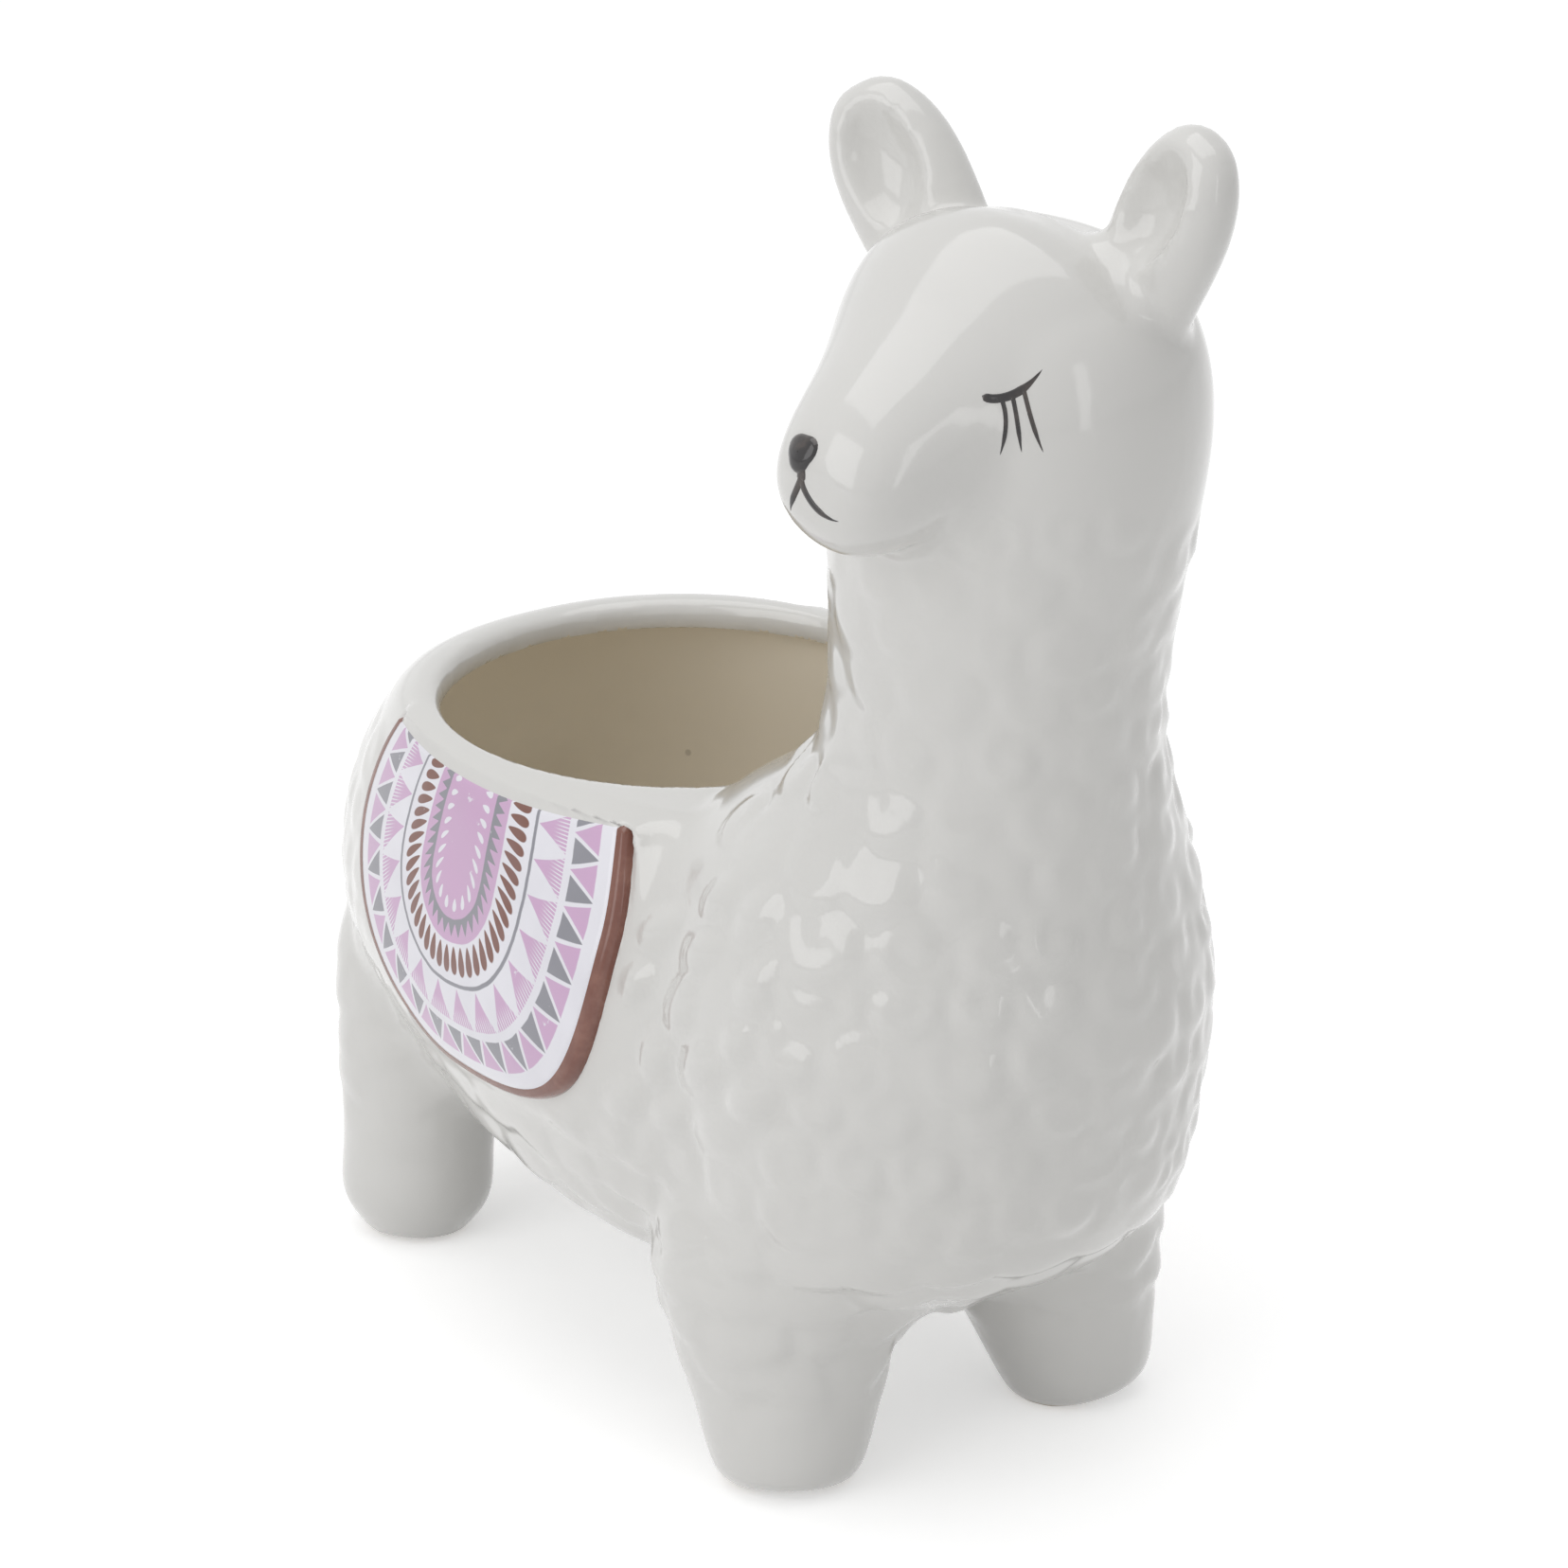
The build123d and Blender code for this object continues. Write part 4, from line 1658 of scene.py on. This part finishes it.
@dataclass(frozen=True)
class Face:
    """Black enamel on the face: the nose patch, the mouth and the two closed eyes."""

    view: Viewpoint
    head: HeadFrame
    nose: Nose = Nose()
    eye: tuple[Stroke, ...] = (
        Stroke(((1037, 418), (1053, 421), (1069, 417), (1084, 408), (1101, 390)), 1.0, 0.6, 0.12),
        Stroke(((1057, 420), (1062, 440), (1061, 461), (1056, 481)), 0.52, 0.9, 0.15),
        Stroke(((1069, 417), (1073, 437), (1076, 457), (1079, 478)), 0.52, 0.9, 0.15),
        Stroke(((1080, 407), (1086, 431), (1093, 455), (1102, 478)), 0.52, 0.9, 0.15),
    )
    mouth: tuple[Stroke, ...] = (
        Stroke(((846, 488), (846, 498), (846, 508)), 1.3, 1.0, 0.6),
        Stroke(((846, 503), (852, 523), (866, 541), (886, 551)), 0.85, 0.8, 0.12),
        Stroke(((846, 503), (842, 515), (837, 527), (835, 540)), 0.85, 0.8, 0.12),
    )

    def gather(self, name: str, meshes: list[tuple[Array, Array]]) -> bpy.types.Object:
        """Joins strokes into one piece, with a quad's doubled corners left out, and faces it outwards.

        Args:
            name: the piece's name.
            meshes: points and quads of each stroke.

        Returns:
            The piece.
        """
        starts = np.cumsum([0] + [len(points) for points, _ in meshes[:-1]])
        points = np.concatenate([points for points, _ in meshes])
        faces = np.concatenate([quads + start for (_, quads), start in zip(meshes, starts)])
        corners = [list(dict.fromkeys(quad)) for quad in faces.tolist()]
        piece = put_piece(name, points, [face for face in corners if len(face) > 2])
        weld(piece.data, face_outwards=True)
        return piece

    def build(self, skin: EvenSkin, ink: bpy.types.Material) -> None:
        """Makes the four pieces of the face.

        Args:
            skin: the casting's finished skin.
            ink: the black enamel's material.
        """
        tree = skin.tree()
        paths = [stroke.path(self.view, tree) for stroke in self.eye]
        for name, mirror in (("left", False), ("right", True)):
            placed = [self.head.mirrored(path) if mirror else path for path in paths]
            meshes = [stroke.mesh(path, tree) for stroke, path in zip(self.eye, placed)]
            hand_over(self.gather("closed_eye_" + name, meshes), ink, "black_enamel", "lashes_" + name)
        mouth = [stroke.mesh(stroke.path(self.view, tree), tree) for stroke in self.mouth]
        hand_over(self.gather("mouth_line", mouth), ink, "black_enamel", "mouth_enamel")
        patch = self.gather("nose_patch", [self.nose.mesh(self.view, self.head, tree)])
        hand_over(patch, ink, "black_enamel", "nose_enamel")


# ---------------------------------------------------------------- studio


@dataclass(frozen=True)
class Softbox:
    """One soft studio lamp: where it hangs, how large it is, both in metres, and how bright."""

    name: str
    place: tuple[float, float, float]
    size: tuple[float, float]
    watts: float

    def build(self, aim: Vector) -> None:
        """Hangs the lamp and turns it to the planter.

        Args:
            aim: the point that it lights.
        """
        data = bpy.data.lights.new(self.name, "AREA")
        data.shape = "RECTANGLE"
        data.size, data.size_y = self.size
        data.energy = self.watts
        lamp = bpy.data.objects.new(self.name, data)
        lamp.location = self.place
        lamp.rotation_euler = (aim - Vector(self.place)).to_track_quat("-Z", "Y").to_euler()
        bpy.context.scene.collection.objects.link(lamp)


@dataclass(frozen=True)
class Studio:
    """Plain pale floor, soft lamps and a white surround; lengths are metres."""

    floor_size: float = 6.0
    floor_paper: tuple[float, float, float, float] = (0.9, 0.9, 0.9, 1.0)
    floor_glow: float = 0.42
    surround_light: float = 0.44
    surround_shown: float = 1.0
    white: tuple[float, float, float, float] = (1.0, 1.0, 1.0, 1.0)
    aim: tuple[float, float, float] = (0.0, 0.0, 0.08)
    background_rays: tuple[str, ...] = ("Is Camera Ray", "Is Glossy Ray", "Is Transmission Ray")
    softboxes: tuple[Softbox, ...] = (
        Softbox("key_softbox", (-1.05, -0.14, 0.60), (0.9, 1.0), 3.8),
        Softbox("strip_softbox", (0.02, -1.15, 0.36), (0.12, 0.7), 0.35),
        Softbox("top_softbox", (0.0, 0.1, 1.2), (1.1, 1.1), 4.6),
    )

    def background(self, w: Wiring) -> Socket:
        """Finds the rays that show the background.

        Args:
            w: the wiring that asks.

        Returns:
            1 on those rays, 0 on the rays that light the planter.
        """
        first, *others = self.background_rays
        path = w.node("ShaderNodeLightPath", out=first)
        seen = path
        for kind in others:
            seen = seen.math("MAXIMUM", path.beside(kind))
        return seen

    def lay_floor(self) -> None:
        """Lays the floor, whose paper keeps the shadow and glows up to white on the background rays."""
        half = self.floor_size / 2
        corners = np.array([[-half, -half, 0], [half, -half, 0], [half, half, 0], [-half, half, 0]]) / MM
        floor = put_piece("studio_floor", corners, np.array([[0, 1, 2, 3]]))
        w = material_wiring("floor_paper")
        paper = w.node("ShaderNodeBsdfDiffuse", None, {"Color": self.floor_paper})
        glow = w.node("ShaderNodeEmission", None, {"Color": self.white, "Strength": self.floor_glow})
        lit = w.node("ShaderNodeAddShader", None, {0: paper, 1: glow})
        w.end(w.node("ShaderNodeMixShader", None, {0: self.background(w), 1: paper, 2: lit}))
        floor.data.materials.append(w.owner)
        floor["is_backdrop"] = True

    def surround(self) -> None:
        """Sets the world: white where it is seen, dimmer where it lights the planter."""
        world = bpy.data.worlds.new("surround")
        w = Wiring(world)
        levels = {"Value": self.background(w), "To Min": self.surround_light, "To Max": self.surround_shown}
        strength = w.node("ShaderNodeMapRange", None, levels)
        backdrop = w.node("ShaderNodeBackground", None, {"Color": self.white, "Strength": strength})
        w.end(backdrop, "ShaderNodeOutputWorld")
        bpy.context.scene.world = world

    def build(self) -> None:
        """Makes the floor, the lamps and the surround, and keeps colours as they are written."""
        self.lay_floor()
        for softbox in self.softboxes:
            softbox.build(Vector(self.aim))
        self.surround()
        bpy.context.scene.view_settings.view_transform = "Standard"


def box_list(box: tuple[Vector, Vector]) -> list[list[float]]:
    """A box's two corners as plain lists."""
    return [[float(value) for value in corner] for corner in box]


def main() -> None:
    """Builds the planter's pieces in order, keeping the wool inside the imported body's box."""
    logging.basicConfig(level=logging.INFO, format="%(name)s %(message)s")
    packed_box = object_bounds()
    view = Viewpoint()
    view.build()
    Studio().build()
    head, outline, casting = HeadFrame(), BlanketOutline(), Casting()
    skin, flanks = casting.build(outline, head, np.array(box_list(packed_box)) / MM)
    printed = PrintFinish(outline.half_width).build()
    border = EnamelFinish("brown_border", thick=(122, 72, 58), thin=(158, 112, 96), thinning=0.45).build()
    for side, flank in flanks.items():
        Blanket(side, flank, outline, casting.pads.relief).build(printed, border)
    ink = EnamelFinish("black_enamel", (30, 27, 29), (104, 90, 82), thinning=0.55, roughness=0.10).build()
    Face(view, head).build(skin, ink)


if __name__ == "__main__":
    main()
